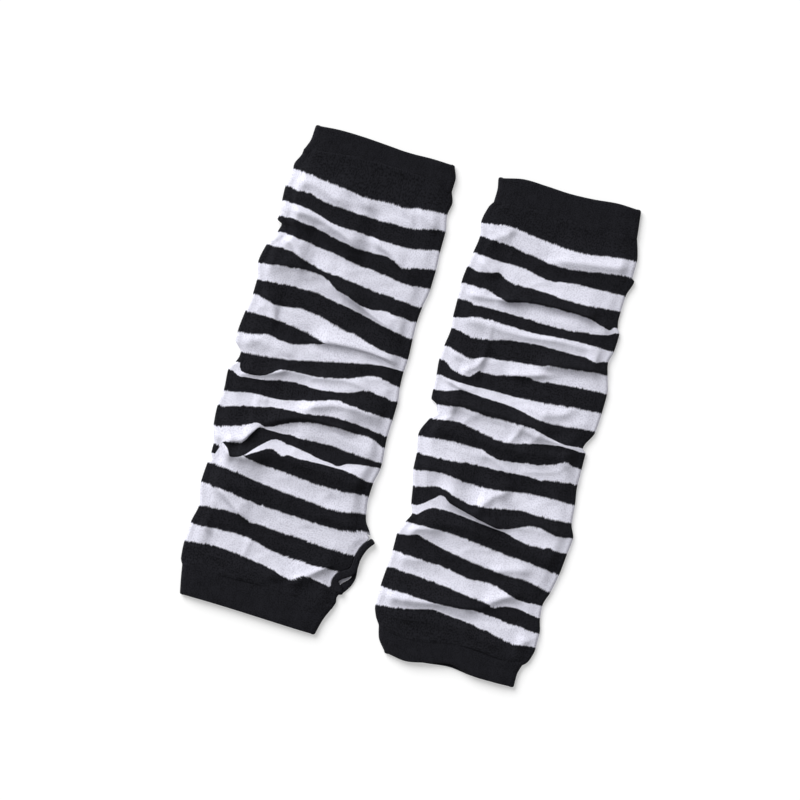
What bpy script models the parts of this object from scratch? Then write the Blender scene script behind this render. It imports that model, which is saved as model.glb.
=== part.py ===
"""A pair of knitted arm warmers laid flat side by side, in metres with +Z up.

Each warmer is a flattened tube: a striped sleeve between two plain cuffs, with a bound thumb hole.
Its own frame has +Y up the sleeve and +X across it, in millimetres, and an empty turns and places it.
"""

import math
from collections import namedtuple

import bmesh
import bpy
from mathutils import Vector

MM = 0.001

# Cloth, in millimetres
SLEEVE_WALL = 1.5
CUFF_WALL = 2.0      # a cuff is turned back on itself, so it is thicker
HOLLOW = 0.8         # slit that stays between front and back of a flat tube
SEAM_GAP = 0.3
LIP_GAP = 0.6        # beside the curved edge of the thumb hole, before the cloth's straight steps cut in
LEAST_ROW_STEP = 0.6
THICKEST_SLANT = 3.2  # a steep wall is measured straight down up to this
EDGE_FADE = 8.0      # folds die away this near to a side edge
EDGE_SHARE = 0.4     # share of a fold's height that is left at the edge
SLOPE_STEP = 0.5     # half the distance over which a slope is measured

# Grid of a flattened tube
FRONT_STEPS = 14
BACK_STEPS = 4
SIDE_ANGLES = (50, 0, -50)
BAND_STEPS = 2       # grid rows from one course line to the next
HOLE_BAND_STEPS = 4  # and beside a thumb hole

# How each warmer lies
TILT_LEFT = -16.4
TILT_RIGHT = -14.4
CENTRE_LEFT = (-56.7, 15.5)
CENTRE_RIGHT = (62.0, -16.1)

# Knit colours
BLACK_YARN = (0.011, 0.011, 0.014)
WHITE_YARN = (0.80, 0.80, 0.84)
YARN_ROUGHNESS = 0.9

# A course line runs across the front from side edge to side edge; y has seven evenly spaced places.
# The colour is that of the knit below the line.
Course = namedtuple("Course", "colour left_x y right_x")

# A fold is a soft ridge: its crest, its height, and how far it reaches above and below the crest.
Fold = namedtuple("Fold", "crest height above below")

# A thumb hole lies between two course lines at a side edge; its bound edge has a front and a back run,
# both from top to bottom.
Run = namedtuple("Run", "x y width")
Hole = namedtuple("Hole", "front back top bottom")

LEFT_SLEEVE = (
    Course("black", -48.5, (134.5, 136.5, 138.5, 139.0, 139.0, 138.0, 135.0), 47.0),
    Course("white", -51.5, (122.0, 120.0, 118.7, 117.5, 118.2, 120.0, 121.2), 48.3),
    Course("black", -53.0, (110.0, 108.5, 106.0, 105.2, 105.6, 107.2, 110.5), 50.3),
    Course("white", -52.5, (101.0, 99.8, 95.5, 95.2, 94.0, 94.8, 98.5), 50.5),
    Course("black", -51.5, (90.0, 90.3, 87.3, 84.6, 85.2, 82.8, 85.5), 51.3),
    Course("white", -49.5, (82.0, 80.4, 78.5, 75.8, 74.7, 72.5, 74.2), 51.3),
    Course("black", -54.0, (71.5, 71.5, 66.0, 64.5, 62.5, 61.5, 60.5), 49.5),
    Course("white", -56.0, (59.8, 62.0, 63.2, 56.0, 51.6, 51.7, 52.5), 49.0),
    Course("black", -53.5, (49.0, 50.6, 51.3, 49.3, 46.6, 42.6, 40.3), 49.5),
    Course("white", -53.5, (40.8, 38.0, 39.7, 36.8, 33.6, 29.7, 28.3), 50.2),
    Course("black", -55.0, (28.3, 28.5, 26.7, 24.3, 25.4, 24.6, 21.5), 49.5),
    Course("white", -56.0, (14.8, 18.0, 17.5, 23.5, 24.8, 24.0, 20.7), 50.0),
    Course("black", -50.5, (3.0, 5.0, 7.5, 11.6, 15.5, 19.3, 20.0), 49.8),
    Course("white", -51.0, (0.0, -7.6, 0.8, 2.0, 6.0, 12.4, 10.0), 50.3),
    Course("black", -55.0, (-8.5, -9.7, -7.0, -5.3, -3.3, 1.6, 0.0), 51.7),
    Course("white", -54.0, (-22.3, -19.0, -18.0, -13.7, -9.0, -10.0, -10.3), 51.7),
    Course("black", -55.0, (-33.0, -28.0, -23.8, -22.5, -19.6, -20.0, -22.0), 51.5),
    Course("white", -54.0, (-45.0, -39.5, -34.7, -27.2, -25.0, -25.4, -29.0), 52.0),
    Course("black", -53.0, (-51.5, -50.2, -38.0, -38.0, -37.0, -38.3, -38.7), 53.0),
    Course("white", -50.0, (-61.0, -58.5, -44.5, -44.0, -46.8, -43.5, -41.3), 53.0),
    Course("black", -49.0, (-62.2, -59.7, -50.0, -50.3, -49.3, -49.3, -51.0), 51.5),
    Course("white", -49.0, (-63.5, -60.8, -59.6, -60.4, -61.6, -61.7, -59.8), 51.0),
    Course("black", -51.0, (-68.3, -69.0, -71.3, -73.0, -74.2, -74.7, -71.3), 52.5),
    Course("white", -51.5, (-80.3, -81.6, -83.8, -84.5, -85.0, -85.0, -80.6), 57.5),
    Course("white", -50.5, (-84.0, -84.6, -86.5, -87.2, -87.5, -87.4, -83.4), 58.6),
    Course("black", -48.5, (-95.3, -93.8, -96.0, -97.3, -97.8, -98.7, -98.3), 54.0),
    Course("white", -50.5, (-106.8, -105.8, -105.3, -108.7, -110.3, -110.5, -109.5), 52.0),
    Course("black", -51.0, (-119.0, -116.9, -117.7, -119.7, -122.6, -120.4, -120.6), 51.5),
    Course("black", -50.4, (-124.0, -122.6, -123.2, -125.0, -127.0, -126.6, -126.6), 49.4),
    Course("black", -48.3, (-133.0, -132.7, -132.2, -131.7, -131.7, -132.2, -133.0), 48.8),
)

RIGHT_SLEEVE = (
    Course("black", -44.5, (135.0, 135.5, 136.0, 135.5, 133.5, 134.3, 135.0), 47.3),
    Course("white", -49.0, (120.8, 123.0, 121.0, 119.0, 118.0, 120.3, 121.5), 50.7),
    Course("black", -47.5, (112.5, 110.8, 108.7, 105.8, 106.7, 109.2, 110.5), 50.5),
    Course("white", -49.0, (102.0, 100.5, 100.2, 96.8, 98.6, 98.8, 99.0), 49.3),
    Course("black", -50.5, (93.0, 91.7, 89.2, 88.8, 87.3, 87.3, 88.3), 48.7),
    Course("white", -51.5, (82.0, 81.2, 78.2, 80.8, 80.7, 78.0, 77.0), 46.0),
    Course("black", -51.3, (70.5, 69.8, 70.0, 69.5, 69.2, 71.6, 75.5), 51.3),
    Course("white", -51.3, (59.8, 63.8, 63.3, 62.6, 63.8, 64.2, 63.5), 50.8),
    Course("black", -50.5, (53.3, 50.0, 53.3, 55.7, 55.8, 55.5, 56.5), 49.0),
    Course("white", -52.0, (42.0, 38.5, 41.3, 43.0, 45.3, 47.3, 49.0), 50.5),
    Course("black", -53.0, (32.5, 26.2, 31.7, 34.4, 35.0, 36.3, 36.8), 53.3),
    Course("white", -52.3, (23.3, 21.4, 21.7, 21.6, 22.5, 24.2, 25.0), 53.0),
    Course("black", -52.0, (13.0, 16.5, 15.8, 14.5, 10.6, 11.2, 12.5), 52.0),
    Course("white", -48.0, (5.0, 7.0, 5.7, 5.8, 4.2, 1.3, 1.0), 47.0),
    Course("black", -49.5, (-4.8, -2.8, -5.8, -7.8, -4.2, -1.3, -2.0), 49.5),
    Course("white", -54.0, (-16.3, -15.0, -15.0, -18.7, -16.7, -12.8, -11.5), 49.5),
    Course("black", -52.0, (-27.5, -27.4, -25.8, -25.4, -24.7, -23.7, -22.0), 49.5),
    Course("white", -51.7, (-37.5, -35.3, -37.2, -37.2, -34.8, -33.8, -34.2), 51.0),
    Course("black", -49.3, (-48.3, -44.8, -49.5, -49.0, -46.5, -47.2, -46.2), 52.0),
    Course("white", -47.5, (-59.0, -52.5, -54.8, -58.3, -58.3, -53.7, -54.5), 55.0),
    Course("black", -45.5, (-63.7, -58.8, -58.2, -60.0, -63.0, -65.8, -65.3), 53.8),
    Course("white", -48.0, (-70.0, -70.0, -70.6, -72.5, -74.5, -76.3, -78.5), 52.3),
    Course("black", -51.5, (-79.0, -78.3, -82.0, -85.0, -87.2, -87.5, -91.0), 49.7),
    Course("white", -51.5, (-89.0, -90.3, -91.3, -94.5, -94.3, -99.8, -99.5), 47.0),
    Course("black", -52.3, (-100.0, -101.2, -102.8, -105.3, -107.2, -105.5, -108.0), 47.5),
    Course("white", -53.3, (-112.5, -113.3, -114.5, -114.2, -113.8, -115.4, -117.0), 49.5),
    Course("black", -53.5, (-125.0, -123.0, -119.8, -120.8, -123.4, -126.8, -126.3), 49.5),
    Course("black", -51.5, (-131.5, -132.6, -131.2, -129.9, -131.2, -133.4, -134.4), 48.0),
    Course("black", -48.5, (-135.7, -139.7, -139.2, -136.2, -135.7, -137.7, -138.8), 44.0),
)

# A cuff's lines run down from its hem to its middle, or from its middle to its hem
UPPER_CUFFS = {
    "left": (
        Course("black", -45.5, (150.3, 151.5, 151.5, 150.8, 150.0, 150.5, 150.3), 44.5),
        Course("black", -45.8, (142.6, 144.0, 145.0, 144.8, 144.5, 144.2, 142.6), 47.1),
    ),
    "right": (
        Course("black", -45.3, (149.5, 152.3, 151.7, 150.7, 151.0, 152.2, 151.5), 45.5),
        Course("black", -44.2, (142.3, 143.9, 143.9, 143.2, 142.4, 143.3, 143.3), 46.4),
    ),
}
LOWER_CUFFS = {
    "left": (
        Course("black", -46.6, (-141.5, -141.3, -141.2, -141.2, -141.3, -141.6, -141.8), 45.1),
        Course("black", -44.7, (-150.0, -149.9, -149.9, -150.2, -150.5, -150.8, -150.9), 43.0),
    ),
    "right": (
        Course("black", -46.4, (-143.5, -146.5, -145.0, -142.2, -143.9, -145.0, -145.8), 42.2),
        Course("black", -41.0, (-151.0, -153.0, -150.6, -148.0, -151.5, -152.2, -152.2), 42.2),
    ),
}

LEFT_FOLDS = (
    Fold(((-50, 99), (-30, 98), (-10, 93), (6, 90)), 2.6, 5, 7),
    Fold(((14, 93), (24, 87), (32, 82)), 1.2, 5, 3),
    Fold(((-47, 82), (-41, 76), (-34, 69)), 2.0, 6, 4),
    Fold(((-50, 62), (-30, 66), (-14, 64), (3, 56), (25, 47)), 3.6, 8, 5),
    Fold(((22, 52), (32, 46), (44, 43)), 1.4, 4, 4),
    Fold(((-46, 42), (-40, 38), (-35, 30)), 1.5, 4, 4),
    Fold(((-22, 17), (0, 25.5), (20, 26.8), (40, 26), (50, 22.5)), 4.2, 9, 3),
    Fold(((-55, 12), (-35, 13), (-14, 12)), 1.8, 6, 6),
    Fold(((-51, -4), (-42, -7), (-28, -5), (-18, 1), (0, 3)), 2.8, 8, 3),
    Fold(((-4, 3), (14, 6), (40, 12)), 2.0, 6, 5),
    Fold(((-4, -13), (17, -9), (48, -9)), 2.2, 6, 6),
    Fold(((-54, -30), (-40, -26), (-24, -22)), 2.0, 8, 8),
    Fold(((-16, -31), (5, -28), (25, -28), (48, -30)), 3.2, 5, 7),
    Fold(((-52, -52), (-42, -49), (-32, -42), (-22, -36)), 3.4, 8, 4),
    Fold(((-40, -59), (-28, -55), (-12, -50), (10, -51), (27, -50), (50, -48)), 3.2, 4, 12),
    Fold(((-50, -76), (-20, -78), (20, -80), (50, -79)), 1.4, 7, 8),
    Fold(((-38, -83), (-27, -91), (-16, -98)), 1.6, 6, 4),
    Fold(((-50, -106), (-35, -105), (-20, -103)), 1.6, 6, 7),
    Fold(((14, -124), (24, -118), (32, -113), (42, -109)), 2.0, 7, 4),
    Fold(((-30, -126), (-8, -132), (14, -127)), 0.8, 5, 5),
)

RIGHT_FOLDS = (
    Fold(((-46, 119), (-38, 112)), 1.2, 4, 3),
    Fold(((0, 113), (22, 116), (46, 119)), 2.0, 6, 7),
    Fold(((-44, 100), (-34, 92)), 1.2, 5, 3),
    Fold(((-44, 76), (-22, 79.5), (-5, 82), (28, 81.5), (44, 77)), 3.8, 8, 4),
    Fold(((-18, 59), (15, 60), (48, 62)), 2.4, 6, 5),
    Fold(((-50, 42), (-42, 36)), 1.4, 5, 5),
    Fold(((-30, 42), (-24, 33)), 1.6, 5, 5),
    Fold(((-2, 36), (16, 39), (40, 43)), 1.8, 6, 4),
    Fold(((-48, 17), (-32, 19), (-10, 17)), 1.4, 5, 5),
    Fold(((12, 13), (26, 17), (38, 22)), 1.2, 5, 4),
    Fold(((4, 6), (25, 4), (47, 2)), 2.4, 6, 3),
    Fold(((-46, 7), (-36, 7), (-26, 5)), 1.6, 5, 6),
    Fold(((-50, -9), (-20, -10), (8, -10), (44, -5)), 2.4, 5, 6),
    Fold(((-10, -17), (6, -24)), 1.2, 5, 4),
    Fold(((-50, -35), (-30, -34), (-10, -37)), 2.2, 7, 6),
    Fold(((-6, -50), (0, -43), (10, -36)), 2.0, 7, 4),
    Fold(((-42, -48), (-24, -49), (-8, -54), (8, -57), (24, -52)), 3.4, 5, 4),
    Fold(((-40, -63), (-10, -64), (20, -68), (50, -70)), 2.6, 6, 8),
    Fold(((10, -90), (26, -86), (46, -88)), 1.2, 5, 5),
    Fold(((-50, -85), (-20, -87), (6, -90)), 1.4, 6, 7),
    Fold(((12, -108), (20, -102), (30, -98)), 1.8, 6, 4),
    Fold(((-50, -110), (-20, -111), (8, -111)), 2.2, 6, 6),
    Fold(((-44, -128), (-10, -124), (30, -131)), 1.8, 5, 7),
)

# Bound edge of the left thumb hole; the runs share their first and last rows
LEFT_HOLE_FRONT = (
    Run(60.3, -87.2, 4.2), Run(57.2, -91.8, 4.3), Run(54.8, -98.5, 4.2), Run(53.8, -104.0, 4.0),
    Run(51.6, -108.4, 3.6), Run(47.9, -111.4, 3.4), Run(45.6, -114.2, 3.2), Run(45.2, -117.2, 3.0),
    Run(46.4, -120.0, 2.8), Run(48.6, -122.6, 2.6),
)
LEFT_HOLE_BACK = (
    Run(60.3, -87.2, 4.2), Run(57.4, -91.9, 4.2), Run(55.3, -98.5, 3.8), Run(54.9, -104.5, 3.4),
    Run(55.6, -109.5, 3.0), Run(55.2, -113.5, 3.2), Run(53.2, -117.0, 3.4), Run(50.8, -119.8, 3.0),
    Run(48.6, -122.6, 2.6),
)
LEFT_HOLE_TOP_LINE = 24     # places in LEFT_SLEEVE of the course lines at its ends
LEFT_HOLE_BOTTOM_LINE = 28
EDGE_THICKNESS = 1.5
EDGE_FRONT_Z = 3.1
EDGE_BACK_Z = 0.8
EDGE_SIDES = 8
EDGE_TURN_ANGLES = (45, 90, 135)
HEADING_STEP = 0.002        # share of a run over which its heading is measured

# Bound edge of the right thumb hole, flat in the underside near the left edge
RIGHT_HOLE_CENTRE = (-40.5, -103.0)
RIGHT_HOLE_LENGTH = 36.0
RIGHT_HOLE_WIDTH = 9.2
RIGHT_HOLE_BAND = 4.0
RIGHT_HOLE_ARC_STEPS = 6
CUTTER_DEPTH = 1.0          # how far the shape that cuts the cloth for it reaches below the cloth


def blend(a, b, share):
    return a + (b - a) * share


def ease(share):
    """0 to 1 with a soft start and a soft end."""
    share = min(1.0, max(0.0, share))
    return share * share * (3 - 2 * share)


def smooth_at(values, place):
    """The value at a place from 0 to 1 on a smooth curve through evenly spaced values."""
    last = len(values) - 1
    spot = min(max(place, 0.0), 1.0) * last
    i = min(int(spot), last - 1)
    f = spot - i
    before = values[max(i - 1, 0)]
    after = values[min(i + 2, last)]
    start, end = values[i], values[i + 1]
    slope_in = (end - before) / 2
    slope_out = (after - start) / 2
    return (
        start * (2 * f**3 - 3 * f**2 + 1)
        + slope_in * (f**3 - 2 * f**2 + f)
        + end * (3 * f**2 - 2 * f**3)
        + slope_out * (f**3 - f**2)
    )


def along(path, x):
    """The y of a path of (x, y) points, in rising x, at x; held level beyond its ends."""
    if x <= path[0][0]:
        return path[0][1]
    for (x0, y0), (x1, y1) in zip(path, path[1:]):
        if x <= x1:
            return blend(y0, y1, (x - x0) / (x1 - x0))
    return path[-1][1]


def fold_height(fold, x, y):
    """Height that one fold adds at (x, y)."""
    first, last = fold.crest[0][0], fold.crest[-1][0]
    fade = (last - first) / 4
    envelope = ease((x - first + fade) / (2 * fade)) * ease((last + fade - x) / (2 * fade))
    off = y - along(fold.crest, x)
    reach = fold.above if off > 0 else fold.below
    return fold.height * envelope * math.exp(-((off / reach) ** 2))


class Lie:
    """How high the front of one sleeve lies over the surface, from its folds."""

    def __init__(self, folds, wall):
        self.folds = folds
        self.wall = wall
        self.flat_top = 2 * wall + HOLLOW

    def raised(self, x, y):
        return sum(fold_height(fold, x, y) for fold in self.folds)

    def top(self, x, y, left_x, right_x):
        from_edge = min(x - left_x, right_x - x)
        share = blend(EDGE_SHARE, 1.0, ease(from_edge / EDGE_FADE))
        return self.flat_top + share * self.raised(x, y)

    def inner_top(self, x, y, left_x, right_x):
        """The inside of the front wall, a wall's thickness in, measured square to the cloth."""
        top = self.top(x, y, left_x, right_x)
        rise_x = (self.raised(x + SLOPE_STEP, y) - self.raised(x - SLOPE_STEP, y)) / (2 * SLOPE_STEP)
        rise_y = (self.raised(x, y + SLOPE_STEP) - self.raised(x, y - SLOPE_STEP)) / (2 * SLOPE_STEP)
        down = min(THICKEST_SLANT, self.wall * math.sqrt(1 + rise_x**2 + rise_y**2))
        return max(self.wall + HOLLOW, top - down)


def between(first, second, share):
    """The course line part of the way from one to the next."""
    y = tuple(blend(a, b, share) for a, b in zip(first.y, second.y))
    left_x = blend(first.left_x, second.left_x, share)
    return Course(first.colour, left_x, y, blend(first.right_x, second.right_x, share))


def all_lines(courses, hole=None):
    """Every grid row: each course line and those between, kept clear of one another."""
    lines = []
    for place, (first, second) in enumerate(zip(courses, courses[1:])):
        steps = HOLE_BAND_STEPS if hole and hole.top <= place < hole.bottom else BAND_STEPS
        for step in range(steps):
            lines.append(between(first, second, step / steps))
    lines.append(courses[-1])
    spaced = [lines[0]]
    for line in lines[1:]:
        above = spaced[-1].y
        spaced.append(line._replace(y=tuple(min(y, a - LEAST_ROW_STEP) for y, a in zip(line.y, above))))
    return spaced


def side_points(edge_x, y, top, wall, toward):
    """The fold at a side edge, from the front to the back: outer points and inner points."""
    radius = top.outer / 2
    inner_radius = (top.inner - wall) / 2
    centre_x = edge_x - toward * radius
    outer, inner = [], []
    for angle in SIDE_ANGLES:
        c, s = math.cos(math.radians(angle)), math.sin(math.radians(angle))
        outer.append((centre_x + toward * radius * c, y, radius + radius * s))
        inner.append((centre_x + toward * inner_radius * c, y, wall + inner_radius + inner_radius * s))
    return outer, inner


Top = namedtuple("Top", "outer inner")
Ring = namedtuple("Ring", "colour front right back left")
Stretch = namedtuple("Stretch", "outer inner")


def ring_of(line, lie, lips=None):
    """One row of the tube as four stretches; lips are the front and back ends beside a thumb hole."""
    left_x, right_x = line.left_x, line.right_x
    y_left, y_right = smooth_at(line.y, 0), smooth_at(line.y, 1)

    def top_at(x, y):
        return Top(lie.top(x, y, left_x, right_x), lie.inner_top(x, y, left_x, right_x))

    left_top = top_at(left_x, y_left)
    right_top = top_at(right_x, y_right)
    front_start = left_x + left_top.outer / 2
    front_end = lips[0] if lips else right_x - right_top.outer / 2
    front = Stretch([], [])
    for j in range(FRONT_STEPS + 1):
        x = blend(front_start, front_end, j / FRONT_STEPS)
        y = smooth_at(line.y, j / FRONT_STEPS)
        top = top_at(x, y)
        if j == 0:
            top = left_top
        if j == FRONT_STEPS and not lips:
            top = right_top
        front.outer.append((x, y, top.outer))
        front.inner.append((x, y, top.inner))
    back_start = lips[1] if lips else front_end
    back = Stretch([], [])
    for j in range(BACK_STEPS + 1):
        x = blend(back_start, front_start, j / BACK_STEPS)
        y = smooth_at(line.y, 1 - j / BACK_STEPS)
        back.outer.append((x, y, 0.0))
        back.inner.append((x, y, lie.wall))
    right = Stretch([], []) if lips else Stretch(*side_points(right_x, y_right, right_top, lie.wall, 1))
    left_outer, left_inner = side_points(left_x, y_left, left_top, lie.wall, -1)
    left = Stretch(left_outer[::-1], left_inner[::-1])
    return Ring(line.colour, front, right, back, left)


def wall_mesh(name, rings):
    """A closed wall through the rings, with a hole where a ring has no right side."""
    bm = bmesh.new()
    rows = []
    for ring in rings:
        loops = []
        for side in ("outer", "inner"):
            places = [getattr(stretch, side) for stretch in (ring.front, ring.right, ring.back, ring.left)]
            loops.append([[bm.verts.new(Vector(p) * MM) for p in stretch] for stretch in places])
        rows.append(loops)

    def patch(a, b, c, d, material=0):
        for corners in ((a, b, c), (a, c, d)):
            face = bm.faces.new(corners)
            face.material_index = material
            face.smooth = True

    def chains(row, side, open_here):
        """The row's points as one closed chain, or as one that stops at the hole's lips."""
        front, right, back, left = rows[row][side]
        if open_here:
            return back + left + front, False
        return front + right + back + left, True

    for k in range(len(rings) - 1):
        open_here = not rings[k].right.outer or not rings[k + 1].right.outer
        material = 1 if rings[k].colour == "white" else 0
        upper, closed = chains(k, 0, open_here)
        lower, _ = chains(k + 1, 0, open_here)
        upper_in, _ = chains(k, 1, open_here)
        lower_in, _ = chains(k + 1, 1, open_here)
        count = len(upper)
        for m in range(count if closed else count - 1):
            n = (m + 1) % count
            patch(upper[m], lower[m], lower[n], upper[n], material)
            patch(upper_in[m], upper_in[n], lower_in[n], lower_in[m], material)
        if open_here:
            patch(upper[0], upper_in[0], lower_in[0], lower[0], material)
            patch(upper[-1], lower[-1], lower_in[-1], upper_in[-1], material)

    def rim(row, facing_up, part=None):
        outer, _ = chains(row, 0, False)
        inner, _ = chains(row, 1, False)
        count = len(outer)
        for m in part or range(count):
            n = (m + 1) % count
            if facing_up:
                patch(outer[m], outer[n], inner[n], inner[m])
            else:
                patch(outer[m], inner[m], inner[n], outer[n])

    rim(0, True)
    rim(len(rings) - 1, False)
    side = range(FRONT_STEPS, FRONT_STEPS + len(SIDE_ANGLES) + 1)
    for k in range(len(rings) - 1):
        here, below = bool(rings[k].right.outer), bool(rings[k + 1].right.outer)
        if here and not below:
            rim(k, False, side)
        if below and not here:
            rim(k + 1, True, side)
    mesh = bpy.data.meshes.new(name)
    bm.normal_update()
    bm.to_mesh(mesh)
    bm.free()
    return mesh


def run_spots(run):
    """Smooth stations on a run of the bound edge: place, heading and width."""
    xs, ys, widths = ([getattr(row, column) for row in run] for column in ("x", "y", "width"))
    spots = []
    for i in range(len(run)):
        place = i / (len(run) - 1)
        low, high = max(0.0, place - HEADING_STEP), min(1.0, place + HEADING_STEP)
        heading = Vector((smooth_at(xs, high) - smooth_at(xs, low), smooth_at(ys, high) - smooth_at(ys, low)))
        spots.append((Vector((xs[i], ys[i])), heading.normalized(), widths[i]))
    return spots


def lip_line(run):
    """Where the cloth ends beside a run, half a width and the gap away, in falling y."""
    points = []
    for place, heading, width in run_spots(run):
        inward = Vector((heading.y, -heading.x))
        spot = place + inward * (width / 2 + LIP_GAP)
        points.append((spot.x, spot.y))
    return points


def lip_x(points, y):
    """The x of a lip at height y, held straight beyond its ends."""
    rising = [(-p[1], p[0]) for p in points]
    return along(rising, -y)


def hole_edge_mesh(name, front_run, back_run):
    """The bound edge as one closed band: down the front run, round, and up the back run."""
    bm = bmesh.new()
    front, back = run_spots(front_run), run_spots(back_run)
    middle_z = (EDGE_FRONT_Z + EDGE_BACK_Z) / 2
    turn_radius = (EDGE_FRONT_Z - EDGE_BACK_Z) / 2
    up = Vector((0, 0, 1))
    loops = []

    def add(place, across, normal, width):
        centre = Vector((place.x, place.y, middle_z)) + normal * turn_radius
        loop = []
        for side in range(EDGE_SIDES):
            angle = 2 * math.pi * (side + 0.5) / EDGE_SIDES
            offset = across * (width / 2 * math.cos(angle)) + normal * (EDGE_THICKNESS / 2 * math.sin(angle))
            loop.append(bm.verts.new((centre + offset) * MM))
        loops.append(loop)

    def across_of(heading):
        return Vector((heading.y, -heading.x, 0))

    def turn(first, second, outward):
        heading = ((first[1] + second[1]) / 2).normalized()
        forward = Vector((heading.x, heading.y, 0)) * outward
        start = up * outward
        for angle in EDGE_TURN_ANGLES:
            c, s = math.cos(math.radians(angle)), math.sin(math.radians(angle))
            add(first[0], across_of(heading), start * c + forward * s, first[2])

    for place, heading, width in front[:-1]:
        add(place, across_of(heading), up, width)
    ends = (front[-1][1] + back[-1][1]).normalized()
    add(front[-1][0], across_of(ends), up, front[-1][2])
    turn(front[-1], back[-1], 1)
    add(back[-1][0], across_of(ends), -up, back[-1][2])
    for place, heading, width in reversed(back[:-1]):
        add(place, across_of(heading), -up, width)
    turn(back[0], front[0], -1)
    for i, loop in enumerate(loops):
        following = loops[(i + 1) % len(loops)]
        for j in range(EDGE_SIDES):
            n = (j + 1) % EDGE_SIDES
            face = bm.faces.new((loop[j], loop[n], following[n], following[j]))
            face.smooth = True
    bmesh.ops.triangulate(bm, faces=bm.faces)
    bmesh.ops.recalc_face_normals(bm, faces=bm.faces)
    mesh = bpy.data.meshes.new(name)
    bm.to_mesh(mesh)
    bm.free()
    return mesh


def slot_outline(length, width):
    """A long round-ended outline along Y, about the origin."""
    radius = width / 2
    reach = length / 2 - radius
    points = []
    for end in (1, -1):
        for i in range(RIGHT_HOLE_ARC_STEPS + 1):
            angle = math.pi * i / RIGHT_HOLE_ARC_STEPS
            points.append((end * radius * math.cos(angle), end * (reach + radius * math.sin(angle))))
    return points


def slot_mesh(name, outer, inner, bottom, top):
    """A flat plate with the outer outline, cut through by the inner one if there is one."""
    bm = bmesh.new()

    def loop_at(points, z):
        return [bm.verts.new(Vector((x, y, z)) * MM) for x, y in points]

    def sides(low, high):
        for i in range(len(low)):
            n = (i + 1) % len(low)
            bm.faces.new((low[i], low[n], high[n], high[i]))

    low, high = loop_at(outer, bottom), loop_at(outer, top)
    sides(low, high)
    if inner:
        low_in, high_in = loop_at(inner, bottom), loop_at(inner, top)
        sides(high_in, low_in)
        sides(low_in, low)
        sides(high, high_in)
    else:
        bm.faces.new(high)
        bm.faces.new(low[::-1])
    mesh = bpy.data.meshes.new(name)
    bm.to_mesh(mesh)
    bm.free()
    return mesh


def yarn(name, colour):
    material = bpy.data.materials.new(name)
    material.use_nodes = True
    shader = material.node_tree.nodes["Principled BSDF"]
    shader.inputs["Base Color"].default_value = (*colour, 1.0)
    shader.inputs["Roughness"].default_value = YARN_ROUGHNESS
    shader.inputs["Metallic"].default_value = 0.0
    material.diffuse_color = (*colour, 1.0)
    return material


def place_piece(name, mesh, parent, materials):
    piece = bpy.data.objects.new(name, mesh)
    for material in materials:
        mesh.materials.append(material)
    bpy.context.scene.collection.objects.link(piece)
    piece.parent = parent
    return piece


def warmer_frame(name, centre, tilt):
    """The empty that a warmer's pieces hang from."""
    frame = bpy.data.objects.new(name, None)
    bpy.context.scene.collection.objects.link(frame)
    frame.location = (centre[0] * MM, centre[1] * MM, 0)
    frame.rotation_euler = (0, 0, math.radians(tilt))
    return frame


def sleeve_rings(courses, folds, hole=None):
    """The rows of a sleeve; hole holds the two runs and the places of its end lines."""
    lie = Lie(folds, SLEEVE_WALL)
    if not hole:
        return [ring_of(line, lie) for line in all_lines(courses)]
    rings = []
    first_row = hole.top * BAND_STEPS
    last_row = first_row + (hole.bottom - hole.top) * HOLE_BAND_STEPS
    for row, line in enumerate(all_lines(courses, hole)):
        lips = None
        if first_row < row < last_row:
            lips = (lip_x(lip_line(hole.front), line.y[-1]), lip_x(lip_line(hole.back), line.y[-1]))
        rings.append(ring_of(line, lie, lips))
    return rings


def make_left(black, white):
    frame = warmer_frame("left_warmer", CENTRE_LEFT, TILT_LEFT)
    hole = Hole(LEFT_HOLE_FRONT, LEFT_HOLE_BACK, LEFT_HOLE_TOP_LINE, LEFT_HOLE_BOTTOM_LINE)
    rings = sleeve_rings(LEFT_SLEEVE, LEFT_FOLDS, hole)
    place_piece("left_sleeve", wall_mesh("left_sleeve", rings), frame, (black, white))
    edge = hole_edge_mesh("left_thumb_hole_edge", hole.front, hole.back)
    place_piece("left_thumb_hole_edge", edge, frame, (black,))
    make_cuffs("left", LEFT_SLEEVE, frame, black)
    return frame


def make_right(black, white):
    frame = warmer_frame("right_warmer", CENTRE_RIGHT, TILT_RIGHT)
    rings = sleeve_rings(RIGHT_SLEEVE, RIGHT_FOLDS)
    sleeve = place_piece("right_sleeve", wall_mesh("right_sleeve", rings), frame, (black, white))
    x, y = RIGHT_HOLE_CENTRE
    outline = slot_outline(RIGHT_HOLE_LENGTH, RIGHT_HOLE_WIDTH)
    slit = slot_outline(RIGHT_HOLE_LENGTH - 2 * RIGHT_HOLE_BAND, RIGHT_HOLE_WIDTH - 2 * RIGHT_HOLE_BAND)
    edge = place_piece(
        "right_thumb_hole_edge",
        slot_mesh("right_thumb_hole_edge", outline, slit, 0, SLEEVE_WALL),
        frame,
        (black,),
    )
    edge.location = (x * MM, y * MM, 0)
    clear = slot_outline(RIGHT_HOLE_LENGTH + 2 * SEAM_GAP, RIGHT_HOLE_WIDTH + 2 * SEAM_GAP)
    cutter = place_piece(
        "thumb_hole_cutter",
        slot_mesh("thumb_hole_cutter", clear, None, -CUTTER_DEPTH, SLEEVE_WALL + HOLLOW / 2),
        frame,
        (),
    )
    cutter.location = edge.location
    cutter.hide_render = True
    cutter.display_type = "WIRE"
    cut = sleeve.modifiers.new("thumb hole", "BOOLEAN")
    cut.operation = "DIFFERENCE"
    cut.solver = "EXACT"
    cut.object = cutter
    make_cuffs("right", RIGHT_SLEEVE, frame, black)
    return frame


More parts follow.
